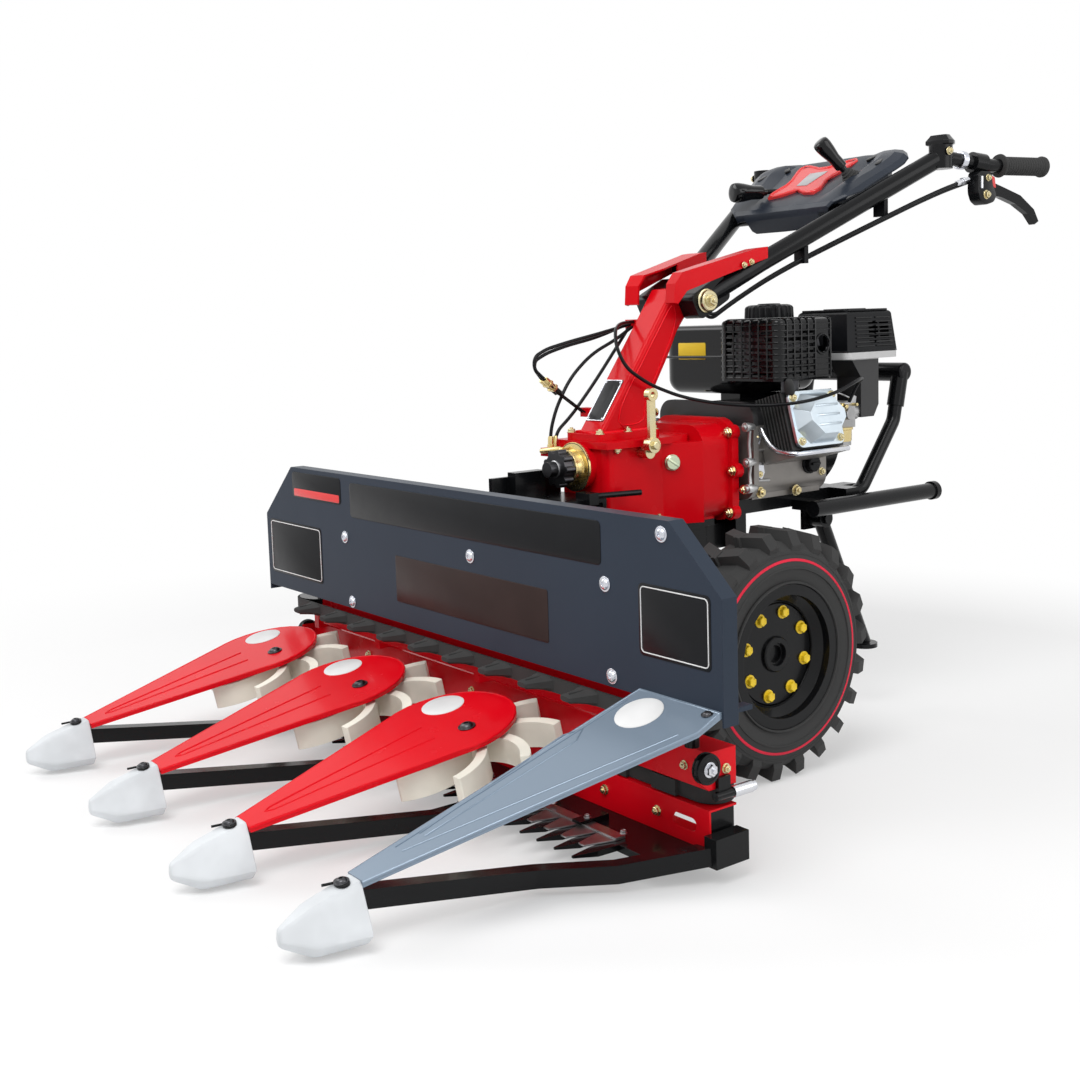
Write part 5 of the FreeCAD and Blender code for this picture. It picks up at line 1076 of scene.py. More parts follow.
    def _ends(self) -> None:
        """Sleeves on the end pins, plates over the channel's ends, and rims round the end rollers."""
        sleeves = Piece("end_pin_sleeves", Look.SILVER, "steel")
        covers = Piece("beam_ends", Look.BLACK, "black")
        rims = Piece("end_roller_rims", Look.BLACK, "black")
        front, rear, low, high = self.channel
        outline = [(low, front), (high, front), (high, rear), (low, rear)]
        on_edge = Matrix.Rotation(math.radians(-90.0), 4, "Y")
        for s in (-1.0, 1.0):
            x, y, z = self.pin
            sleeves.lathe([(-8.0, 7.4), (-6.0, 8.0), (26.0, 8.0), (27.0, 7.0), (32.0, 7.0), (33.0, 6.0)],
                          along((s * x, y, z), (s * x, y + 50.0, z)), 20)
            end = Matrix.Translation((s * self.channel_end, 0.0, 0.0))
            covers.slab(outline, end @ on_edge, -2.0, 2.0)
            x, y, z = self.roller
            rims.lathe([(0.4, 20.4), (3.0, 21.0), (3.6, 19.0), (8.4, 19.0), (9.0, 21.0), (12.0, 20.4),
                        (12.6, 16.0), (0.0, 16.0)], facing((s * x, y, z), (s, 0.0, 0.0)), 32, True)
        sleeves.finish()
        covers.finish()
        rims.finish()


@dataclass
class Dividers:
    """Boots, ridges, discs and bolts of the divider covers.

    The outlet cover's top runs between two points (y, z), a red cover's round end is (radius,
    middle), and a section of a boot is (y, half widths, heights).
    """

    scatter: Scatter
    outlet: tuple[Flat, Flat] = ((-857.0, 108.0), (-445.0, 268.0))
    round_end: tuple[float, float] = (104.8, -33.0)
    tab: Flat = (-897.0, 106.6)
    boot: tuple[tuple[float, Point, Point], ...] = (
        (-982.0, (3.0, 6.0, 4.0), (53.0, 61.0, 73.0)),
        (-945.0, (17.0, 28.0, 12.0), (34.0, 50.0, 92.0)),
        (-879.0, (25.0, 41.0, 15.0), (34.0, 50.0, 109.0)),
    )

    def dress(self) -> None:
        """Build every piece."""
        self._boots()
        self._ridges()
        self._discs()
        self._fasteners()

    def _boots(self) -> None:
        """Soft white boots over the divider tubes' ends."""
        shrinks = (
            (0.0, 0.7), (0.015, 0.94), (0.04, 1.0), (0.46, 1.0), (0.54, 1.0), (0.985, 1.0), (1.0, 0.975),
        )
        boots = Piece("soft_boots", Look.WHITE, "white")
        for x, back in NOSES:
            rings = []
            for share, shrink in shrinks:
                y, halves, heights = self._section(share)
                middle = Vector((x, y + back, sum(heights) / 3.0))
                line = [Vector((x + a, y + back, z)) for a, z in zip(halves, heights)]
                line = list(reversed(line)) + [Vector((2 * x - p.x, p.y, p.z)) for p in line]
                rings.append([middle.lerp(p, shrink) for p in cut_corners(line, 2, 0.09)])
            boots.skin(rings)
        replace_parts(boots.finish(30.0), "noses")

    def _section(self, share: float) -> tuple[float, list[float], list[float]]:
        """Section of a boot, eased between the three given ones.

        Args:
            share: how far along the boot it is, from its tip.

        Returns:
            Its place along the machine, its half widths and their heights.
        """
        tip, middle, end = self.boot
        near = share <= 0.5
        first, last = (tip, middle) if near else (middle, end)
        k = share * 2.0 - (0.0 if near else 1.0)
        ease = k * (1.15 - 0.15 * k) if near else k
        y = first[0] + (last[0] - first[0]) * k
        halves = [p + (q - p) * ease for p, q in zip(first[1], last[1])]
        heights = [p + (q - p) * ease for p, q in zip(first[2], last[2])]
        return y, halves, heights

    def _ridges(self) -> None:
        """Pressed ridges and rolled edges of the covers."""
        red = Piece("cover_ridges", Look.RED, "red")
        for x in DIVIDERS:
            place = on_cover(x)
            crease = [(-20.0, -62.0), (-6.0, -322.0), (0.0, -332.0), (6.0, -322.0), (30.0, -72.0)]
            red.tube([place @ Vector((a, b, -0.4)) for a, b in crease], 1.7, 6)
            red.tube([place @ Vector((a, b, -2.0)) for a, b in self._edge()], 2.6, 8, True)
        red.finish(60.0)
        grey = Piece("outlet_cover_ridges", Look.BLUE_GREY, "blue_grey")
        creases = (
            ((428.0, -770.0), (446.0, -560.0), (462.0, -540.0), (474.0, -560.0), (440.0, -770.0)),
            ((420.0, -800.0), (470.0, -470.0)), ((436.0, -800.0), (596.0, -500.0)),
        )
        for crease in creases:
            grey.tube([Vector((a, b, self._outlet_height(b) - 0.4)) for a, b in crease], 1.6, 6)
        edge = [(403.4, -856.0), (437.0, -856.0), (615.0, -486.0), (615.0, -447.0), (467.0, -447.0)]
        grey.tube([Vector((a, b, self._outlet_height(b) - 1.8)) for a, b in edge], 2.4, 8, True)
        grey.finish(60.0)

    def _edge(self) -> list[Flat]:
        """Outline of a red cover.

        Returns:
            Its corners on the cover's own axes.
        """
        radius, middle = self.round_end
        arc = [math.radians(a) for a in range(-24, 205, 12)]
        tip = [(-22.0, -365.0), (22.0, -365.0)]
        return tip + [(radius * math.cos(a), middle + radius * math.sin(a)) for a in arc]

    def _outlet_height(self, y: float) -> float:
        """Height of the outlet cover's top at a place along the machine."""
        (y0, z0), (y1, z1) = self.outlet
        return z0 + (y - y0) * (z1 - z0) / (y1 - y0)

    def _discs(self) -> None:
        """Blank white discs."""
        discs = Piece("blank_discs", Look.PRINT, "white")
        profile = [(0.0, 33.0), (0.5, 33.0), (0.7, 32.4), (0.7, 0.5)]
        for x in DIVIDERS:
            discs.lathe(profile, on_cover(x) @ Matrix.Translation((-56.0, 2.0, 0.0)), 48)
        (y0, z0), (y1, z1) = self.outlet
        at = Vector((510.0, -486.0, self._outlet_height(-486.0)))
        slope = Matrix.Rotation(math.atan2(z1 - z0, y1 - y0), 4, "X")
        discs.lathe(profile, Matrix.Translation(at) @ slope, 48)
        discs.finish()

    def _fasteners(self) -> None:
        """Bolts on the covers and on the boots' fixing tabs."""
        tilt = math.radians(COVER_TILT)
        top = (0.0, -math.sin(tilt), math.cos(tilt))
        places = [Place(tuple(on_cover(x) @ Vector((44.0, -23.5, 0.3))), top, 1.15) for x in DIVIDERS]
        tabs = Piece("boot_tabs", Look.BLACK, "black")
        oval = [(13.0 * x, 9.0 * y) for x, y in circle(24)]
        for x, back in NOSES:
            at = Matrix.Translation((x, self.tab[0] + back, self.tab[1]))
            place = at @ Matrix.Rotation(math.radians(9.2), 4, "X")
            tabs.slab(oval, place, -1.5, 1.2, 0.5)
            tabs.tube([place @ Vector((-6.0, -8.0, 0.6)), place @ Vector((-13.0, -20.0, 0.4))], 1.8, 8)
            head, aim = place @ Vector((0.0, 0.0, 1.0)), place.to_3x3() @ Vector(UP)
            places.append(Place(tuple(head), tuple(aim), 0.85))
        places.append(Place((601.0, -455.0, self._outlet_height(-455.0)), top, 0.7))
        tabs.finish()
        self.scatter.spread("cover_bolts", "button", places, Look.BLACK_METAL, "black")


# ---------------------------------------------------------------- wheels
@dataclass
class Wheels:
    """Stripes, tyre walls, tread bars, hubs and rim bolts."""

    scatter: Scatter
    bolt_circle: float = 69.0
    bolt_face: float = 293.0
    bars: int = 22
    tread_middle: float = 271.0
    tread_half: float = 52.0
    slant: float = 20.0

    def dress(self) -> None:
        """Build both wheels' pieces."""
        for name, s in (("left", 1.0), ("right", -1.0)):
            place = facing((0.0, 0.0, AXLE_Z), (s, 0.0, 0.0))
            self._walls(name, place)
            self._hub(name, place)
            self._bolts(name, s)
            self._lugs(name, s)

    def _walls(self, name: str, place: Matrix) -> None:
        """Stripe and raised rings of a tyre's outer wall.

        Args:
            name: which wheel.
            place: axes at its middle, with z outwards.
        """
        stripe = Piece("tyre_stripe_" + name, Look.STRIPE, "red_plastic", "wheel_" + name)
        stripe.lathe([(320.6, 154.0), (321.6, 154.4), (320.9, 158.4), (319.6, 158.8), (318.5, 156.0)],
                     place, 96, True)
        stripe.finish()
        wall = Piece("tyre_wall_" + name, Look.RUBBER, "rubber", "wheel_" + name)
        for low, high, out in ((118.0, 122.0, 322.4), (142.0, 146.0, 324.4), (165.0, 168.0, 319.0)):
            wall.lathe([(out - 3.0, low), (out, low + 0.8), (out, high - 0.8), (out - 3.0, high)],
                       place, 96, True)
        wall.finish()

    def _hub(self, name: str, place: Matrix) -> None:
        """Hub cap, pressed ring and rolled edge of a rim.

        Args:
            name: which wheel.
            place: axes at its middle, with z outwards.
        """
        hub = Piece("rim_hub_" + name, Look.BLACK, "black", "wheel_" + name)
        hub.lathe([(291.0, 30.0), (297.0, 29.0), (299.0, 27.0), (299.0, 19.0), (294.0, 17.0),
                   (291.0, 17.0)], place, 48, True)
        hub.lathe([(292.0, 88.0), (294.4, 87.0), (295.0, 85.0), (292.6, 84.0)], place, 64, True)
        hub.lathe([(300.0, 112.6), (318.0, 114.0), (320.5, 116.4), (319.6, 118.6), (316.0, 117.4),
                   (300.0, 115.0)], place, 96, True)
        hub.finish()

    def _bolts(self, name: str, s: float) -> None:
        """Eight bolts round a rim.

        Args:
            name: which wheel.
            s: the side that it is on.
        """
        ring = circle(8, self.bolt_circle, (0.0, AXLE_Z), 0.67)
        bolts = [Place((s * self.bolt_face, y, z), (s, 0.0, 0.0), 1.12) for y, z in ring]
        self.scatter.spread("rim_bolts_" + name, "head", bolts, Look.YELLOW, "zinc", "wheel_" + name)

    def _lugs(self, name: str, s: float) -> None:
        """Tread bars between the tyre's own, each in line with a bar of the other side.

        Args:
            name: which wheel.
            s: the side that it is on.
        """
        half, top, root, width = self.tread_half, AXLE_Z - 0.4, 160.0, 20.0
        profile = (
            (-6.0, root), (-6.0, top), (half - 12.0, top - 3.0), (half - 3.0, top - 26.0),
            (half - 8.0, root),
        )
        lean = math.atan2(LEVEL[2][1], LEVEL[1][1])
        tread = Piece("tyre_lugs_" + name, Look.RUBBER, "rubber", "wheel_" + name)
        for i in range(self.bars):
            side = -1.0 if i % 2 else 1.0
            a = 2 * math.pi * i / self.bars - lean
            rings = []
            for y in (-width / 2.0, width / 2.0):
                ring = []
                for out, r in profile:
                    across = y + self.slant * out / half
                    ring.append(Vector((
                        s * (self.tread_middle + side * out),
                        across * math.cos(a) - r * math.sin(a),
                        AXLE_Z + across * math.sin(a) + r * math.cos(a),
                    )))
                rings.append(ring)
            tread.skin(rings)
        tread.finish()


# ---------------------------------------------------------------- gearbox and column
@dataclass
class Gearbox:
    """Bolts, plugs, plate, ridges, clutch and cable adjusters of the gearbox and the column.

    The pivot is (y, z), and the plate is (width, height).
    """

    scatter: Scatter
    pivot: Flat = (76.0, 778.0)
    plate: Flat = (46.0, 84.0)
    plate_at: Point = (-2.0, -95.6, 613.0)
    plate_normal: Point = (0.0, -0.8099, 0.5866)
    shaft: Point = (0.0, -166.0, 505.0)

    def dress(self) -> None:
        """Build every piece."""
        self._bolts()
        self._caps()
        self._plugs()
        self._plate()
        self._ridges()
        self._clutch()
        self._adjusters()

    def _bolts(self) -> None:
        """Plated bolts of the castings, and black ones round the axle tubes."""
        flange = ((92.0, 405.0), (100.0, 479.5), (92.0, 547.0))
        ears = [Place((x, 106.0, z), FRONT) for x, z in flange]
        foot = [Place((38.0, y, 560.0), UP, 0.85) for y in (-142.0, -80.0, -20.0)]
        lid = [Place((68.0, y, 536.0), DOWN, 0.8) for y in (-130.0, -60.0)]
        base = [Place((68.0, y, 407.0), UP, 0.95) for y in (-118.0, -70.0, -40.0)]
        hubs = [Place((84.6, *self.pivot), LEFT, 1.25)]
        bracket = [Place((93.5, y, 840.0 + (y - 156.0) * 0.3), LEFT, 0.6) for y in (150.0, 168.0)]
        places = both_sides(ears + foot + lid + base + hubs + bracket)
        self.scatter.spread("gearbox_bolts", "hex", places, Look.ZINC, "zinc")
        ring = circle(6, 53.0, (0.0, AXLE_Z), 0.5)
        axle = both_sides([Place((124.0, y, z), LEFT) for y, z in ring])
        self.scatter.spread("axle_bolts", "hex", axle, Look.BLACK_METAL, "black")

    def _caps(self) -> None:
        """Plated caps on the handlebar's pivot."""
        caps = Piece("pivot_caps", Look.ZINC, "zinc")
        for s in (-1.0, 1.0):
            caps.lathe([(0.0, 17.3), (0.0, 20.6), (2.0, 20.9), (3.0, 18.6), (9.6, 18.4), (11.2, 16.6),
                        (11.2, 3.0), (10.4, 2.8), (10.4, 17.3)],
                       facing((s * 73.4, *self.pivot), (s, 0.0, 0.0)), 40, True)
        caps.finish()

    def _plugs(self) -> None:
        """Stud, side screw and slotted filler plug of the gearbox."""
        stud = Piece("gearbox_stud", Look.ZINC, "zinc")
        stud.lathe([(0.0, 8.6), (2.0, 8.6), (2.2, 6.8), (9.0, 6.8), (9.2, 3.8), (26.0, 3.8), (27.0, 2.8)],
                   facing((65.0, 51.0, 409.0), UP, FRONT), 6)
        stud.lathe([(0.0, 7.6), (5.0, 7.6), (6.0, 6.0)], facing((99.0, -74.0, 539.0), LEFT), 6)
        stud.finish()
        plug = Piece("gearbox_plug", Look.OLIVE, "zinc")
        place = facing((71.0, -10.0, 503.0), (0.93, -0.37, 0.0))
        plug.lathe([(-3.0, 14.0), (3.0, 14.0), (4.0, 12.6), (7.0, 12.4), (8.0, 11.2), (8.0, 2.0)],
                   place, 28)
        plug.slab([(-12.0, -1.6), (12.0, -1.6), (12.0, 1.6), (-12.0, 1.6)],
                  place @ Matrix.Rotation(math.radians(-35.0), 4, "Z"), 7.0, 8.6, 0.2)
        plug.finish()

    def _plate(self) -> None:
        """Blank plate with a bright border on the column's front."""
        place = facing(self.plate_at, self.plate_normal)
        wide, high = self.plate
        plate = Piece("column_plate", Look.LABEL, "plastic_black")
        plate.slab(rounded(wide, high, 3.0), place, 0.0, 0.9, 0.3)
        plate.finish()
        rim = Piece("column_plate_rim", Look.SILVER, "steel")
        edge = rounded(wide - 3.0, high - 3.0, 3.0)
        rim.tube([place @ Vector((a, b, 0.9)) for a, b in edge], 1.3, 6, True)
        for a, b in ((-18.0, 36.5), (18.0, 36.5), (-18.0, -36.5), (18.0, -36.5)):
            rim.lathe([(0.9, 2.4), (1.8, 2.2), (2.3, 1.2)], place @ Matrix.Translation((a, b, 0.0)), 12)
        rim.finish()

    def _ridges(self) -> None:
        """Pressed ridges and boss rings on the column's sides, and the weld bead at its foot."""
        shape = [(-134.0, 560.0), (-25.0, 560.0), (-22.0, 605.0), (27.0, 684.0), (50.0, 727.0),
                 (56.0, 760.0), (40.0, 801.0), (0.0, 745.0)]
        red = Piece("column_ridges", Look.RED, "red")
        for s in (-1.0, 1.0):
            line = cut_corners([Vector((s * 30.0, y, z)) for y, z in inset(shape, 11.0)], 2)
            red.tube(line, 1.5, 6, True)
            red.tube([Vector((s * 34.0, y, z)) for y, z in circle(28, 22.5, self.pivot)], 1.3, 6, True)
        bead = [(-31.5, -136.0), (31.5, -136.0), (31.5, -24.0), (-31.5, -24.0)]
        red.tube([(x, y, 560.6) for x, y in bead], 3.2, 8, True)
        red.finish(60.0)

    def _clutch(self) -> None:
        """Knurled ring, pin lever and hub of the header clutch."""
        gold = Piece("clutch_ring", Look.GOLD, "zinc")
        place = facing(self.shaft, FRONT)
        gold.lathe([(0.2, 39.0), (0.8, 42.0), (4.4, 42.0), (5.2, 39.0), (5.4, 30.0), (7.0, 29.4),
                    (18.0, 29.4), (19.6, 30.8), (23.0, 30.8), (24.0, 29.0), (24.0, 26.0), (0.2, 26.0)],
                   place, 48, True)
        gold.lathe([(0.0, 4.0), (4.0, 4.0), (5.0, 5.4), (10.0, 5.8), (44.0, 4.8), (46.0, 3.6)],
                   along((-14.0, -180.0, 535.0), (-84.0, -206.0, 528.0)), 20)
        gold.finish()
        hub = Piece("clutch_hub", Look.STEEL, "steel")
        hub.lathe([(20.0, 14.6), (46.0, 14.6), (47.0, 13.2)], place, 36)
        hub.finish()

    def _adjusters(self) -> None:
        """Plated adjusters, lock nuts and end sleeves on the four cables in front."""
        gold = Piece("cable_adjusters", Look.GOLD, "zinc")
        profile = [(-3.0, 3.4), (-3.0, 5.4), (0.0, 6.2), (8.0, 6.2), (8.6, 7.6), (12.4, 7.6), (13.0, 5.6),
                   (20.0, 5.6), (20.6, 7.6), (24.6, 7.6), (25.2, 5.2), (31.0, 4.8), (33.0, 3.2),
                   (33.0, 2.2)]
        for x in (-45.0, -53.0):
            gold.lathe(profile, along((x, -190.0, 652.0), (x, -160.0, 629.0)), 6)
        sleeve = [(-1.0, 5.8), (4.0, 5.8), (5.0, 4.6), (16.0, 4.6), (19.0, 3.4)]
        for start, end in (((-56.0, -175.0, 536.0), (-56.0, -174.0, 558.0)),
                           ((-58.0, -165.0, 536.0), (-58.0, -161.6, 556.0))):
            gold.lathe(sleeve, along(start, end), 8)
        gold.finish()


# ---------------------------------------------------------------- engine
@dataclass
class Engine:
    """Cap, plates, bolts, shrouds, guard wires, webs and small parts of the engine.

    The tank is (width, length, middle), the guard is (x from, to, y from, to, z from, to), its
    outlet is (y, z, radius), and the air cleaner's lid is (x, y, height).
    """

    scatter: Scatter
    cap_at: Flat = (-50.0, 366.0)
    cap_low: float = 742.0
    cap_r: float = 47.0
    tank: tuple[float, float, Flat] = (224.0, 231.0, (-91.0, 329.0))
    case_half: float = 112.0
    case_front: float = 122.0
    lug_heights: tuple[float, float, float] = (448.0, 494.0, 556.0)
    guard: tuple[float, float, float, float, float, float] = (22.0, 164.0, 156.0, 300.0, 634.0, 742.0)
    outlet: tuple[float, float, float] = (270.0, 696.0, 17.5)
    wire_r: float = 1.7
    air_lid: tuple[float, float, float] = (87.0, 422.0, 752.0)
    fan_ribs: int = 16

    def dress(self) -> None:
        """Build every piece."""
        self._cap()
        self._tank()
        self._cylinder()
        self._shroud()
        self._lead()
        self._webs()
        self._cage()
        self._case()
        self._air()
        self._carburettor()
        self._recoil()

    def _cap(self) -> None:
        """Ribbed filler cap."""
        cap = Piece("tank_cap_ribbed", Look.BLACK_PLASTIC, "plastic_black")
        stations = (
            (0.0, 37.6, 0.2), (0.6, 38.6, 0.8), (3.0, 38.6, 1.4), (21.0, 37.8, 1.4), (24.0, 36.6, 1.0),
            (26.4, 33.4, 0.2), (27.4, 30.0, 0.0), (26.2, 27.4, 0.0), (26.2, 20.0, 0.0), (29.4, 17.6, 0.0),
            (29.8, 4.0, 0.0),
        )
        x0, y0 = self.cap_at
        turn = circle(120)
        rings = []
        for z, r, rib in stations:
            ring = []
            for i, (x, y) in enumerate(turn):
                out = (r + (rib if i % 5 < 2 else -rib * 0.6)) * self.cap_r / 40.0
                ring.append(Vector((x0 + out * x, y0 + out * y, self.cap_low + z)))
            rings.append(ring)
        cap.skin(rings)
        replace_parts(cap.finish(28.0), "tank_cap")

    def _tank(self) -> None:
        """Blank plate on the tank, its welded rim and the ring round the filler's neck."""
        plate = Piece("tank_plate", Look.YELLOW_LABEL, "white")
        front = facing((0.0, 218.0, 0.0), FRONT)
        plate.slab(rounded(74.0, 32.0, 3.0, (-111.0, 685.5)), front, 0.0, 0.7, 0.3)
        plate.finish()
        rim = Piece("tank_rim", Look.GLOSS_BLACK, "plastic_black")
        wide, long, middle = self.tank
        rim.tube([(x, y, 674.5) for x, y in rounded(wide, long, 38.0, middle)], 2.6, 8, True)
        rim.tube([(x, y, 735.4) for x, y in circle(32, 34.4, self.cap_at)], 2.2, 8, True)
        rim.finish(60.0)

    def _cylinder(self) -> None:
        """Bolts, ribs and rim of the valve cover."""
        tilted = on_cylinder()
        _, y0, z0 = CRANK
        aim = tuple(tilted.to_3x3() @ Vector(LEFT))
        corners = [Place(tuple(tilted @ Vector((182.0, y0 + y, z0 + z))), aim, 0.8)
                   for y in (-50.0, 50.0) for z in (-39.0, 39.0)]
        self.scatter.spread("valve_cover_bolts", "hex", corners, Look.ZINC, "zinc")
        ribs = Piece("valve_cover_ribs", Look.VALVE, "aluminium")
        for z in (-17.0, 0.0, 17.0):
            route = ((200.0, -34.0), (209.6, -27.0), (209.8, 27.0), (200.0, 34.0))
            ribs.tube([tilted @ Vector((x, y0 + y, z0 + z)) for x, y in route], 2.4, 8)
        rim = rounded(112.0, 90.0, 10.0)
        ribs.tube([tilted @ Vector((180.0, y0 + y, z0 + z)) for y, z in rim], 2.2, 8, True)
        ribs.finish(60.0)

    def _shroud(self) -> None:
        """Bright-edged tray under the fins, with its lug and bolt."""
        tilted = on_cylinder()
        front, rear, thick, low = 170.0, 306.0, 5.0, 456.0
        edge = [(106.0, 529.0), (113.0, 524.0), (119.0, 500.0), (132.0, 481.0), (146.0, 471.0),
                (178.0, 461.0)]
        wall = edge + [(178.0, low), (106.0, low)]
        under = [(106.0, low), (178.0, low), (178.0, low + thick), (106.0, low + thick)]
        tray = Piece("cylinder_tray", Look.CRANKCASE, "cast")
        tray.skin([[tilted @ Vector((x, y, z)) for x, z in wall] for y in (front, front + thick)])
        tray.skin([[tilted @ Vector((x, y, z)) for x, z in under] for y in (front + thick, rear)])
        tray.finish()
        strip = Piece("cylinder_shroud", Look.SILVER, "aluminium")
        route = [Vector((x, front, z)) for x, z in edge]
        route += [Vector((181.0, front + 12.0, 460.0)), Vector((181.0, rear, 460.0))]
        strip.tube([tilted @ p for p in cut_line(route)], 4.6, 10)
        outwards = (1.0, -0.25, 0.1)
        oval = [(10.0 * x, 15.0 * y) for x, y in circle(24)]
        strip.slab(oval, facing((112.0, 152.0, 536.0), outwards), -4.0, 4.0, 1.0)
        strip.finish(50.0)
        lug = Place((114.6, 151.0, 537.0), outwards, 0.6)
        self.scatter.spread("shroud_bolt", "hex", [lug], Look.ZINC, "zinc")

    def _lead(self) -> None:
        """Rubber boot on the spark plug."""
        lead = Piece("spark_lead", Look.RUBBER, "rubber")
        start = on_cylinder() @ Vector((176.0, 192.0, 566.0))
        lead.lathe([(0.0, 7.0), (6.0, 9.0), (24.0, 8.0), (32.0, 6.0), (34.0, 4.0)],
                   along(tuple(start), tuple(start + Vector((10.0, -14.0, 22.0)))), 20)
        lead.finish()

    def _webs(self) -> None:
        """Cast bosses and webs round the crankcase's front rim."""
        web = Piece("case_webs", Look.ALUMINIUM, "aluminium")
        boss = [(-20.0, 5.0), (-10.0, 7.6), (1.0, 8.2), (2.0, 7.6), (2.0, 4.6), (5.0, 4.4), (5.6, 3.6)]
        lowest = self.lug_heights[0]
        for s in (-1.0, 1.0):
            for z in self.lug_heights:
                x = s * (121.0 - (z - lowest) * 0.03)
                web.lathe(boss, facing((x, self.case_front, z), FRONT), 20)
            for low, high in zip(self.lug_heights, self.lug_heights[1:]):
                web.tube([(s * 119.0, 131.0, low + 7.0), (s * 115.0, 133.0, (low + high) / 2.0),
                          (s * 119.0, 131.0, high - 7.0)], 3.4, 8)
            for z in (462.0, 516.0):
                web.tube([(s * 112.0, 134.0, z), (s * 113.4, 158.0, z - 3.0),
                          (s * 112.0, 186.0, z - 5.0)], 2.6, 8)
        web.finish(50.0)

    def _cage(self) -> None:
        """Wires over the silencer's guard and the ring round its outlet."""
        x0, x1, y0, y1, low, high = self.guard
        hole_y, hole_z, hole_r = self.outlet
        wires = Piece("guard_wires", Look.GLOSS_BLACK, "black")
        count = 10
        for i in range(count):
            z = low + 6.0 + (high - low - 16.0) * i / (count - 1)
            short = abs(z - hole_z) < hole_r
            last = hole_y - hole_r - 1.0 if short else y1 - 12.0
            wires.tube([(x1 + 0.4, last, z), (x1 + 0.4, y0 + 14.0, z), (x1 - 3.7, y0 + 3.7, z),
                        (x1 - 14.0, y0 - 0.4, z), (x0 + 14.0, y0 - 0.4, z), (x0 + 3.7, y0 + 3.7, z)],
                       self.wire_r, 6)
            if short:
                rest = [(x1 + 0.4, hole_y + hole_r + 1.0, z), (x1 + 0.4, y1 - 11.0, z)]
                wires.tube(rest, self.wire_r, 6)
        for y in (178.0, 196.0, 214.0, 232.0, 250.0, 290.0):
            wires.tube([(x1 + 1.4, y, low + 4.0), (x1 + 1.4, y, high - 7.0), (x1 - 0.6, y, high - 1.0),
                        (x1 - 7.0, y, high + 0.8), (x1 - 70.0, y, high + 0.8)], self.wire_r, 6)
        for x in (40.0, 60.0, 80.0, 100.0, 120.0, 140.0):
            wires.tube([(x, y0 - 1.4, low + 4.0), (x, y0 - 1.4, high - 7.0), (x, y0 + 0.6, high - 1.0),
                        (x, y0 + 7.0, high + 0.8), (x, y0 + 60.0, high + 0.8)], self.wire_r, 6)
        ring = [(x1 + 0.4, y, z) for y, z in circle(28, hole_r, (hole_y, hole_z))]
        wires.tube(ring, 2.2, 6, True)
        wires.finish(60.0)

    def _case(self) -> None:
        """Bolts, filler plug, lug and drain plugs of the crankcase."""
        x = self.case_half
        bolts = [Place((-x, self.case_front, 450.0), FRONT, 0.9),
                 Place((-x, self.case_front, 575.0), FRONT, 0.9),
                 Place((x, self.case_front, 446.0), FRONT, 0.9)]
        left = ((160.0, 470.0), (325.0, 460.0), (325.0, 575.0))
        right = ((165.0, 450.0), (320.0, 450.0), (240.0, 580.0))
        bolts += [Place((x, y, z), LEFT, 0.8) for y, z in left]
        bolts += [Place((-x, y, z), RIGHT, 0.8) for y, z in right]
        self.scatter.spread("crankcase_bolts", "hex", bolts, Look.ZINC, "zinc")
        plug = Piece("filler_plug", Look.BLACK_PLASTIC, "plastic_black")
        place = facing((x, 292.0, 478.0), LEFT)
        plug.lathe([(0.0, 19.0), (3.0, 19.0), (3.6, 16.0), (13.0, 15.4), (14.6, 13.6), (14.6, 3.0)],
                   place, 20)
        plug.slab(rounded(22.0, 5.0, 2.0), place, 14.4, 19.0, 1.0)
        plug.finish()
        plate = Piece("case_plate", Look.SILVER, "aluminium")
        plate.slab([(-13.0, -9.0), (5.0, -17.0), (12.0, -6.0), (9.0, 12.0), (-6.0, 16.0), (-14.0, 6.0)],
                   facing((x, 160.0, 477.0), LEFT), -0.5, 3.5, 1.0)
        plate.finish()
        drains = [Place((x, 255.0, 432.0), LEFT, 1.1), Place((x, 162.0, 437.0), LEFT, 1.1)]
        self.scatter.spread("drain_plugs", "hex", drains, Look.ZINC, "zinc")

    def _air(self) -> None:
        """Lid and louvres of the air cleaner."""
        x, y, top = self.air_lid
        middle, at = (x, y), Matrix.Translation((0.0, 0.0, top))
        lid = Piece("air_cleaner_lid", Look.BLACK_PLASTIC, "plastic_black")
        lid.slab(rounded(112.0, 122.0, 12.0, middle), at, -0.6, 3.0, 1.2)
        lid.slab(rounded(70.0, 44.0, 6.0, middle), at, 2.4, 4.4, 0.8)
        lid.finish()
        grille = Piece("air_cleaner_louvres", Look.GLOSS_BLACK, "plastic_black")
        for i in range(8):
            z = 687.0 + 7.4 * i
            x = 152.4 - 8.0 * (z - 676.0) / 76.0
            for start, end in ((378.0, 428.0), (433.0, 481.0)):
                grille.tube([(x, start + i * 0.5, z), (x, end - i * 0.3, z)], 1.7, 6)
        grille.finish(60.0)

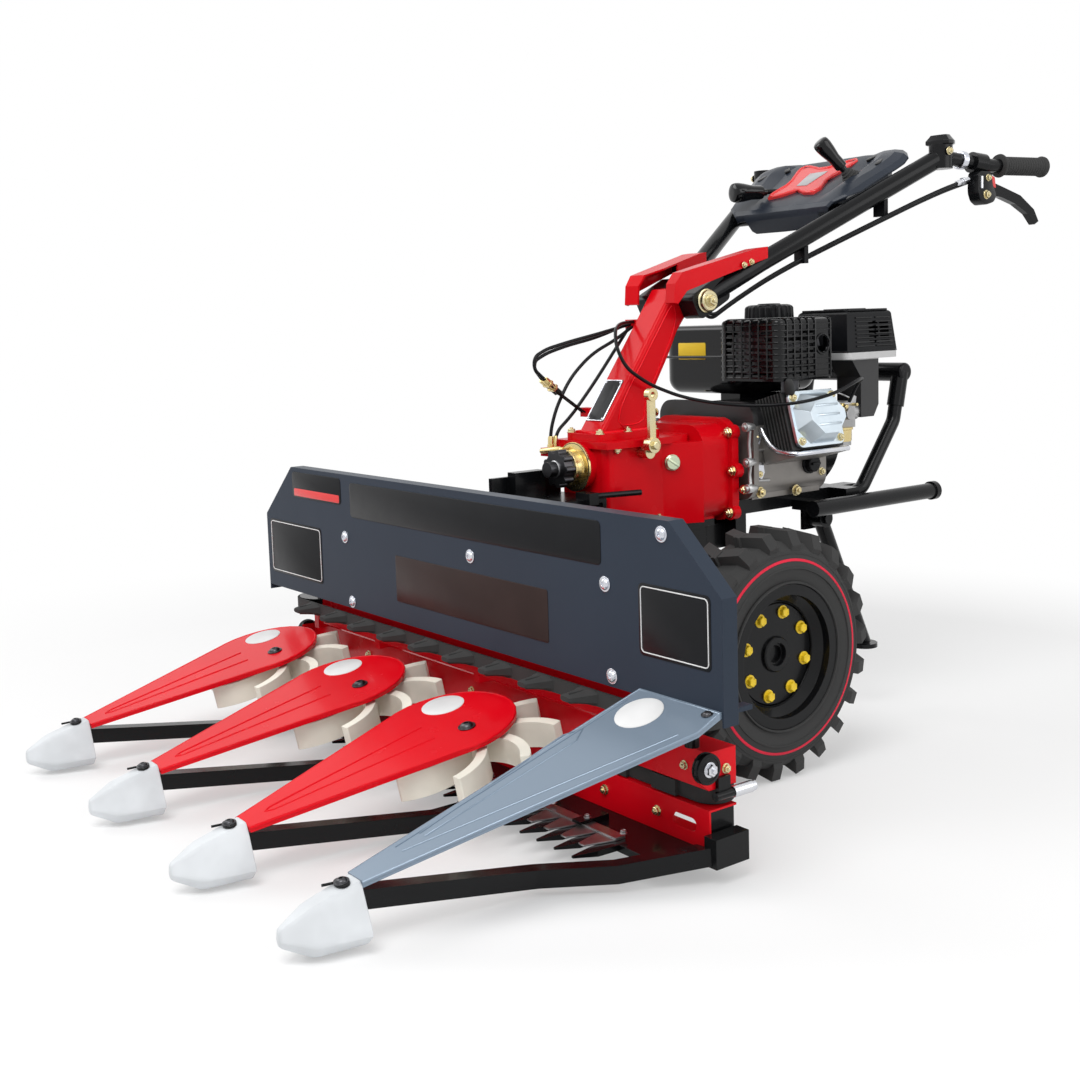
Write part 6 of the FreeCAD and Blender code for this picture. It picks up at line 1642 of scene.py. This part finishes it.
    def _carburettor(self) -> None:
        """Brass parts, bowl and linkage of the carburettor."""
        brass = Piece("carburettor_brass", Look.GOLD, "zinc")
        brass.lathe([(0.0, 6.4), (6.0, 6.4), (6.6, 4.6), (14.0, 4.6), (15.0, 3.4)],
                    facing((146.0, 340.0, 580.0), LEFT), 6)
        brass.lathe([(0.0, 3.0), (16.0, 3.0), (17.0, 2.0)], facing((146.0, 366.0, 582.0), LEFT), 12)
        brass.lathe([(0.0, 5.8), (4.0, 5.8), (5.0, 4.8)], facing((132.0, 351.0, 500.0), DOWN, FRONT), 6)
        brass.lathe([(0.0, 20.4), (0.6, 23.4), (4.4, 23.4), (5.2, 21.2), (24.0, 20.9), (30.0, 18.4),
                     (33.2, 13.0), (33.8, 6.5)], facing((134.0, 351.0, 541.0), DOWN, FRONT), 36)
        brass.finish()
        rods = Piece("throttle_linkage", Look.STEEL, "steel")
        rods.tube([(150.0, 372.0, 590.0), (152.0, 330.0, 604.0), (134.0, 300.0, 612.0)], 1.5, 8)
        arm = [(340.0, 574.0), (372.0, 574.0), (376.0, 596.0), (366.0, 600.0), (358.0, 586.0),
               (340.0, 586.0)]
        rods.slab(arm, facing((150.0, 0.0, 0.0), LEFT), 0.0, 2.0, 0.4)
        rods.finish()

    def _recoil(self) -> None:
        """Ribs, rings and bolts of the fan housing."""
        height = CRANK[2]
        ribs = Piece("recoil_ribs", Look.GLOSS_BLACK, "black")
        for x, z in circle(self.fan_ribs):
            ribs.tube([(r * x, 398.4, height + r * z) for r in (46.0, 78.0)], 3.0, 6)
        for r, y in ((81.0, 398.0), (44.0, 398.4), (38.0, 410.0)):
            ribs.tube([(x, y, z) for x, z in circle(48, r, (0.0, height))], 2.4, 6, True)
        ribs.finish(60.0)
        turns = [math.radians(d) for d in (-150.0, -32.0, 0.0, 48.0, 132.0, 180.0)]
        bolts = [Place((95.0 * math.cos(a), 382.0, height + 95.0 * math.sin(a)), BACK, 0.7) for a in turns]
        self.scatter.spread("recoil_screws", "hex", bolts, Look.ZINC, "zinc")


# ---------------------------------------------------------------- handlebar
@dataclass
class Handlebar:
    """Dash, trim, grips, knobs, straps and fixings on the handlebar.

    A lever is (foot, end, knob's radius), and a width is (place along the arms, half width).
    """

    scatter: Scatter
    grip_from: Point = (240.0, 650.0, 1012.0)
    grip_end: Point = (262.0, 784.0, 1012.0)
    grip_length: float = 118.0
    grip_bore: float = 12.7
    lever_side: float = 229.0
    levers: tuple[tuple[Point, Point, float], ...] = (
        ((110.0, 422.0, 991.0), (85.0, 360.0, 1060.0), 15.0),
        ((-60.0, 413.0, 986.0), (-90.0, 314.0, 985.0), 18.5),
    )
    widths: tuple[Flat, ...] = (
        (-39.0, 112.0), (-6.0, 152.0), (60.0, 166.0), (118.0, 186.0), (140.0, 180.0), (168.0, 140.0),
    )
    seat: float = 17.8

    def dress(self) -> None:
        """Build every piece."""
        self._dash()
        self._slots()
        self._trim()
        self._lever_body()
        self._grips()
        self._knobs()
        self._bolts()
        self._straps()
        self._throttle()

    def _half_width(self, v: float) -> float:
        """Half the dash's width.

        Args:
            v: the place along the arms.

        Returns:
            The half width there.
        """
        for (v0, w0), (v1, w1) in zip(self.widths, self.widths[1:]):
            if v <= v1:
                return w0 + (w1 - w0) * (v - v0) / (v1 - v0)
        return self.widths[-1][1]

    def _dash(self) -> None:
        """Facetted dash: a lobe over each arm, a skirt in front and a low hump at the back."""
        rows = (
            (-39.0, 8.0, 0.0), (-36.0, 20.0, 0.0), (-28.0, 26.0, 0.0), (-12.0, 28.0, 0.1),
            (14.0, 28.4, 0.7), (44.0, 28.4, 1.0), (70.0, 28.4, 0.8), (92.0, 28.4, 1.0),
            (112.0, 30.0, 1.0), (130.0, 33.0, 0.8), (148.0, 33.0, 0.5), (160.0, 29.0, 0.2),
            (168.0, 20.0, 0.0),
        )
        place = on_arms()
        dash = Piece("dash_body", Look.DASH, "plastic_grey_dark", "handlebar")
        dash.skin([[place @ p for p in self._dash_ring(*row)] for row in rows])
        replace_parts(dash.finish(16.0), "console")

    def _dash_ring(self, v: float, top: float, lift: float) -> list[Vector]:
        """One ring of the dash's skin on the dash's axes.

        Args:
            v: its place along the arms.
            top: the height of the dash's middle there.
            lift: how far the lobes rise, from 0 to 1.

        Returns:
            Its points: across the top, then back along the underside.
        """
        columns = (
            (0.0, 0.0), (0.16, 0.0), (0.33, 0.0), (0.44, 0.6), (0.56, -1.6), (0.64, 4.0), (0.72, 8.6),
            (0.86, 8.0), (0.96, 1.0), (1.0, -7.0), (1.0, -10.4),
        )
        under = ((0.96, self.seat), (0.80, self.seat), (0.74, -14.0), (0.66, -20.0), (0.0, -21.0))
        half = self._half_width(v)
        ring = []
        for share, up in [(-c, up) for c, up in reversed(columns[1:])] + list(columns):
            x, z = half * share, top + up * (lift if up > 0.0 else min(1.0, lift + 0.4))
            over_arm = abs(share) > 0.7 and v > -10.0
            ring.append(Vector((x, v, max(z, self.seat + 0.4) if over_arm else z)))
        keel = min(1.0, max(0.0, (171.0 - v) / 60.0))
        low = [(c, h if h > 0.0 else self.seat + (h - self.seat) * keel) for c, h in under]
        low += [(-c, h) for c, h in reversed(low[:-1])]
        return ring + [Vector((half * c, v, min(h, top - 1.0))) for c, h in low]

    def _slots(self) -> None:
        """Dark oval slots in the dash."""
        place = on_arms()
        ovals = Piece("dash_slots", Look.BLACK, "black", "handlebar")
        for s in (-1.0, 1.0):
            for u, v, w, turn in ((143.0, 100.0, 36.6, 14.0), (106.0, 132.0, 33.6, -40.0)):
                spin = Matrix.Rotation(math.radians(s * turn), 4, "Z")
                spot = place @ Matrix.Translation((s * u, v, w)) @ spin
                ovals.slab(rounded(11.0, 28.0, 5.4), spot, -3.0, 1.4, 0.5)
        ovals.finish()

    def _trim(self) -> None:
        """Rolled edge round the raised cross, and a blank plate on it."""
        right = [(0.0, 26.0), (26.0, 10.0), (56.0, 4.0), (62.0, 22.0), (48.0, 62.0), (74.0, 128.0),
                 (60.0, 144.0), (0.0, 114.0)]
        outline = right + [(-x, y) for x, y in reversed(right[1:-1])]
        place = on_arms()
        edge = Piece("dash_cross_edge", Look.RED_PLASTIC, "red_plastic", "handlebar")
        line = cut_corners([Vector((x, y, 32.0)) for x, y in inset(outline, 3.0)], 1, 0.2)
        edge.tube([place @ p for p in line], 3.4, 10, True)
        edge.finish(60.0)
        plate = Piece("dash_plate", Look.LABEL_SILVER, "plastic_grey", "handlebar")
        plate.slab([(-14.0, 44.0), (14.0, 40.0), (24.0, 96.0), (-20.0, 96.0)], place, 32.8, 34.2, 0.6)
        plate.finish()

    def _grip_ends(self, s: float) -> tuple[Point, Point]:
        """The outer and the inner end of the bar that carries the grip on the side that s gives."""
        return (s * self.grip_end[0], *self.grip_end[1:]), (s * self.grip_from[0], *self.grip_from[1:])

    def _grips(self) -> None:
        """Ribbed rubber grips with a flange, and their domed ends."""
        bore = self.grip_bore
        profile: list[Flat] = [(0.0, 17.2), (0.4, 19.4), (3.6, 19.8), (7.0, 18.2)]
        z = 9.0
        while z < self.grip_length - 14.0:
            profile += [(z, 16.0), (z + 1.0, 15.8), (z + 2.0, 17.2), (z + 4.4, 17.2), (z + 5.2, 16.2)]
            z += 6.4
        profile += [(z + 2.0, 17.0), (z + 3.0, 20.4), (z + 6.0, 21.8), (z + 8.4, 21.0), (z + 9.6, 15.0),
                    (z + 9.6, bore), (0.0, bore)]
        grips = Piece("ribbed_grips", Look.RUBBER, "rubber", "handlebar")
        caps = Piece("grip_ends", Look.BLACK_PLASTIC, "plastic_black", "handlebar")
        for s in (-1.0, 1.0):
            bar = along(*self._grip_ends(s))
            grips.lathe(profile, bar, 36, True)
            caps.lathe([(-2.6, 5.0), (-2.0, 9.0), (-0.2, 13.2), (1.0, 13.4)], bar, 28)
        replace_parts(grips.finish(24.0), "grips")
        caps.finish()

    def _knobs(self) -> None:
        """Moulded knobs with their collars, and the bellows where the upright lever leaves the dash."""
        knobs = Piece("lever_knobs", Look.GLOSS_BLACK, "plastic_black", "handlebar")
        for base, end, r in self.levers:
            knobs.lathe([(-3.0, r * 0.35), (-2.6, r * 0.7), (-0.6, r * 0.92), (3.0, r), (10.0, r * 1.02),
                         (22.0, r * 0.94), (40.0, r * 0.74), (58.0, r * 0.56 + 3.0), (62.0, r * 0.5 + 3.0),
                         (63.0, 7.0), (72.0, 6.4), (73.0, 5.4)], along(end, base), 32)
        knobs.finish()
        bellows = Piece("lever_boots", Look.RUBBER, "rubber", "handlebar")
        profile = [(2.0, 19.0), (5.0, 19.0)]
        for k in range(4):
            z = 6.0 + 5.0 * k
            profile += [(z, 16.4 - 2.4 * k), (z + 2.4, 17.6 - 2.6 * k), (z + 3.6, 14.2 - 2.2 * k)]
        profile += [(27.0, 6.0), (28.0, 5.2)]
        base, end, _ = self.levers[0]
        bellows.lathe(profile, along(base, end), 32)
        bellows.finish()

    def _lever_body(self) -> None:
        """Housing of the control lever under the left bar, its latch and the cable's barrel."""
        body = Piece("lever_housing", Look.BLACK, "black", "handlebar")
        side = facing((self.lever_side, 0.0, 0.0), LEFT)
        outline = [(600.0, 1000.0), (598.0, 962.0), (606.0, 946.0), (622.0, 938.0), (648.0, 944.0),
                   (656.0, 958.0), (644.0, 976.0), (640.0, 1000.0)]
        smooth = cut_corners([Vector((a, b, 0.0)) for a, b in outline], 2, 0.16)
        body.slab([(p.x, p.y) for p in smooth], side, 0.0, 23.0, 2.0)
        body.finish()
        latch = Piece("lever_latch", Look.RED_PLASTIC, "red_plastic", "handlebar")
        latch.slab([(640.0, 974.0), (660.0, 970.0), (656.0, 990.0), (640.0, 996.0)], side, 4.0, 19.0, 2.0)
        latch.finish()
        barrel = Piece("lever_barrel", Look.SILVER, "zinc", "handlebar")
        barrel.lathe([(0.0, 3.4), (0.0, 5.0), (4.0, 5.6), (14.0, 5.6), (14.6, 7.6), (19.0, 7.6),
                      (19.6, 5.0), (30.0, 5.0)], along((228.0, 566.0, 977.6), (236.4, 607.0, 989.2)), 6)
        barrel.lathe([(0.0, 2.6), (22.0, 2.6)], along((252.6, 608.0, 990.0), (252.6, 608.0, 968.0)), 8)
        barrel.finish()

    def _bolts(self) -> None:
        """Clamp and lever bolts."""
        places = [Place((252.0, 622.0, 957.0), LEFT, 0.9), Place((252.0, 628.0, 988.0), LEFT, 0.7)]
        places += both_sides([Place((238.0, 530.0, 1034.0), LEFT, 0.8)])
        self.scatter.spread("clamp_bolts", "hex", places, Look.ZINC, "zinc", "handlebar")

    def _straps(self) -> None:
        """Plated straps on the bars beside the arms' clamps."""
        x, y, z = ARM_TOP
        strap = Piece("clamp_strap", Look.SILVER, "zinc", "handlebar")
        for s in (-1.0, 1.0):
            end = Vector(self._grip_ends(s)[1])
            start = Vector((s * x, y, z)).lerp(end, 0.36)
            strap.lathe([(0.0, self.grip_bore), (0.0, 16.0), (1.0, 16.8), (11.0, 16.8), (12.0, 16.0),
                         (12.0, self.grip_bore)], along(tuple(start), tuple(end)), 32, True)
        strap.finish()

    def _throttle(self) -> None:
        """Housing of the throttle on the left arm's top."""
        x, y, z = ARM_TOP
        throttle = Piece("throttle_housing", Look.GLOSS_BLACK, "plastic_black", "handlebar")
        turn = Matrix.Translation((x, y, z + 20.0)) @ Matrix.Rotation(math.radians(12.0), 4, "Z")
        base = [(-24.0, -20.0), (24.0, -20.0), (28.0, 0.0), (22.0, 20.0), (-22.0, 20.0), (-28.0, 0.0)]
        layers = ((0.4, 0.8), (2.0, 0.9), (8.0, 0.9), (16.0, 0.66), (18.4, 0.6), (18.6, 0.4))
        throttle.skin([cut_corners([turn @ Vector((a * k, b * k, h)) for a, b in base], 1, 0.15)
                       for h, k in layers])
        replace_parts(throttle.finish(28.0), "throttle")


# ---------------------------------------------------------------- studio
@dataclass
class Studio:
    """Pale floor, soft lamps and the camera, in metres on the floor's own axes.

    A lamp is (name, place, side, power), and the floor fades to white from one distance to the other.
    """

    camera_at: Vector = Vector((1.7663, -1.5010, 0.7025))
    azimuth: float = 54.46
    elevation: float = 5.07
    roll: float = -0.58
    lens: float = 44.77
    shift: tuple[float, float] = (0.044, -0.0677)
    floor_radius: float = 9.0
    fade: tuple[float, float] = (0.9, 2.3)
    least_white: float = 0.35
    target: Vector = Vector((0.0, 0.0, 0.45))
    lamps: list[tuple[str, Vector, float, float]] = field(default_factory=lambda: [
        ("key", Vector((1.4, -2.2, 3.4)), 2.2, 95.0),
        ("fill", Vector((3.2, 1.2, 2.0)), 2.4, 38.0),
        ("side", Vector((-2.6, -1.6, 2.8)), 2.0, 40.0),
    ])

    def build(self) -> None:
        """Make the floor, world, lamps and camera."""
        self._floor()
        self._world()
        for name, at, size, power in self.lamps:
            self._lamp(name, at, size, power)
        self._camera()

    def _seen(self, tree: NodeTree) -> Value:
        """Mask of the rays that show what they meet.

        Args:
            tree: the tree to add it to.

        Returns:
            1 for a camera, transmission or glossy ray, and 0 for the others.
        """
        path = tree.node("ShaderNodeLightPath")
        seen = path["Is Camera Ray"].maths("MAXIMUM", path["Is Transmission Ray"])
        return seen.maths("MAXIMUM", path["Is Glossy Ray"])

    def _floor(self) -> None:
        """A round white floor that fades into the white surroundings."""
        mesh = bpy.data.meshes.new("floor")
        rim = [(x, y, 0.0) for x, y in circle(96, self.floor_radius)]
        mesh.from_pydata(rim, [], [list(range(len(rim)))])
        floor = bpy.data.objects.new("floor", mesh)
        bpy.context.scene.collection.objects.link(floor)
        s = Shader("floor_white")
        distance = s.node("ShaderNodeVectorMath", {"operation": "LENGTH"}, s.place)["Value"]
        seen = self._seen(s)
        matt = s.node("ShaderNodeBsdfDiffuse", None, Color=(0.86, 0.86, 0.86))["BSDF"]
        white = s.node("ShaderNodeEmission", None, Color=(1.0, 1.0, 1.0), Strength=1.0)["Emission"]
        share = distance.above(*self.fade).maths("MAXIMUM", self.least_white) * seen
        mixed = s.node("ShaderNodeMixShader", None, share, matt, white)["Shader"]
        s.node("ShaderNodeOutputMaterial", None, mixed)
        mesh.materials.append(s.material)

    def _world(self) -> None:
        """White where the camera or a gloss looks, a plain soft grey light elsewhere."""
        world = bpy.data.worlds.new("studio")
        world.use_nodes = True
        bpy.context.scene.world = world
        t = NodeTree(world.node_tree)
        plain = t.node("ShaderNodeBackground", None, Color=(1.0, 1.0, 1.0), Strength=0.55)["Background"]
        white = t.node("ShaderNodeBackground", None, Color=(1.0, 1.0, 1.0), Strength=1.0)["Background"]
        mixed = t.node("ShaderNodeMixShader", None, self._seen(t), plain, white)["Shader"]
        t.node("ShaderNodeOutputWorld", None, mixed)

    def _lamp(self, name: str, at: Vector, size: float, power: float) -> None:
        """Set one square soft lamp, aimed at the machine's middle.

        Args:
            name: its name.
            at: its place.
            size: the length of its side.
            power: its power in watts.
        """
        light = bpy.data.lights.new(name, "AREA")
        light.shape = "SQUARE"
        light.size = size
        light.energy = power
        lamp = bpy.data.objects.new(name, light)
        bpy.context.scene.collection.objects.link(lamp)
        lamp.location = at
        lamp.rotation_euler = (at - self.target).to_track_quat("Z", "Y").to_euler()

    def _camera(self) -> None:
        """The camera, from its place, azimuth, elevation and roll."""
        data = bpy.data.cameras.new("camera")
        data.lens = self.lens
        data.shift_x, data.shift_y = self.shift
        camera = bpy.data.objects.new("camera", data)
        bpy.context.scene.collection.objects.link(camera)
        turn = Matrix.Rotation(math.radians(self.azimuth), 4, "Z")
        tilt = Matrix.Rotation(math.radians(90.0 - self.elevation), 4, "X")
        spin = Matrix.Rotation(math.radians(self.roll), 4, "Z")
        camera.matrix_world = Matrix.Translation(self.camera_at) @ turn @ tilt @ spin
        bpy.context.scene.camera = camera


def main() -> None:
    """Dress the machine and set up the studio."""
    logging.basicConfig(level=logging.INFO, format="%(message)s")
    bpy.context.scene.view_settings.view_transform = "Standard"
    Dresser().dress_all()
    scatter = Scatter()
    for assembly in (Header, Dividers, Wheels, Gearbox, Engine, Handlebar):
        assembly(scatter).dress()
    scatter.close()
    Studio().build()


if __name__ == "__main__":
    main()
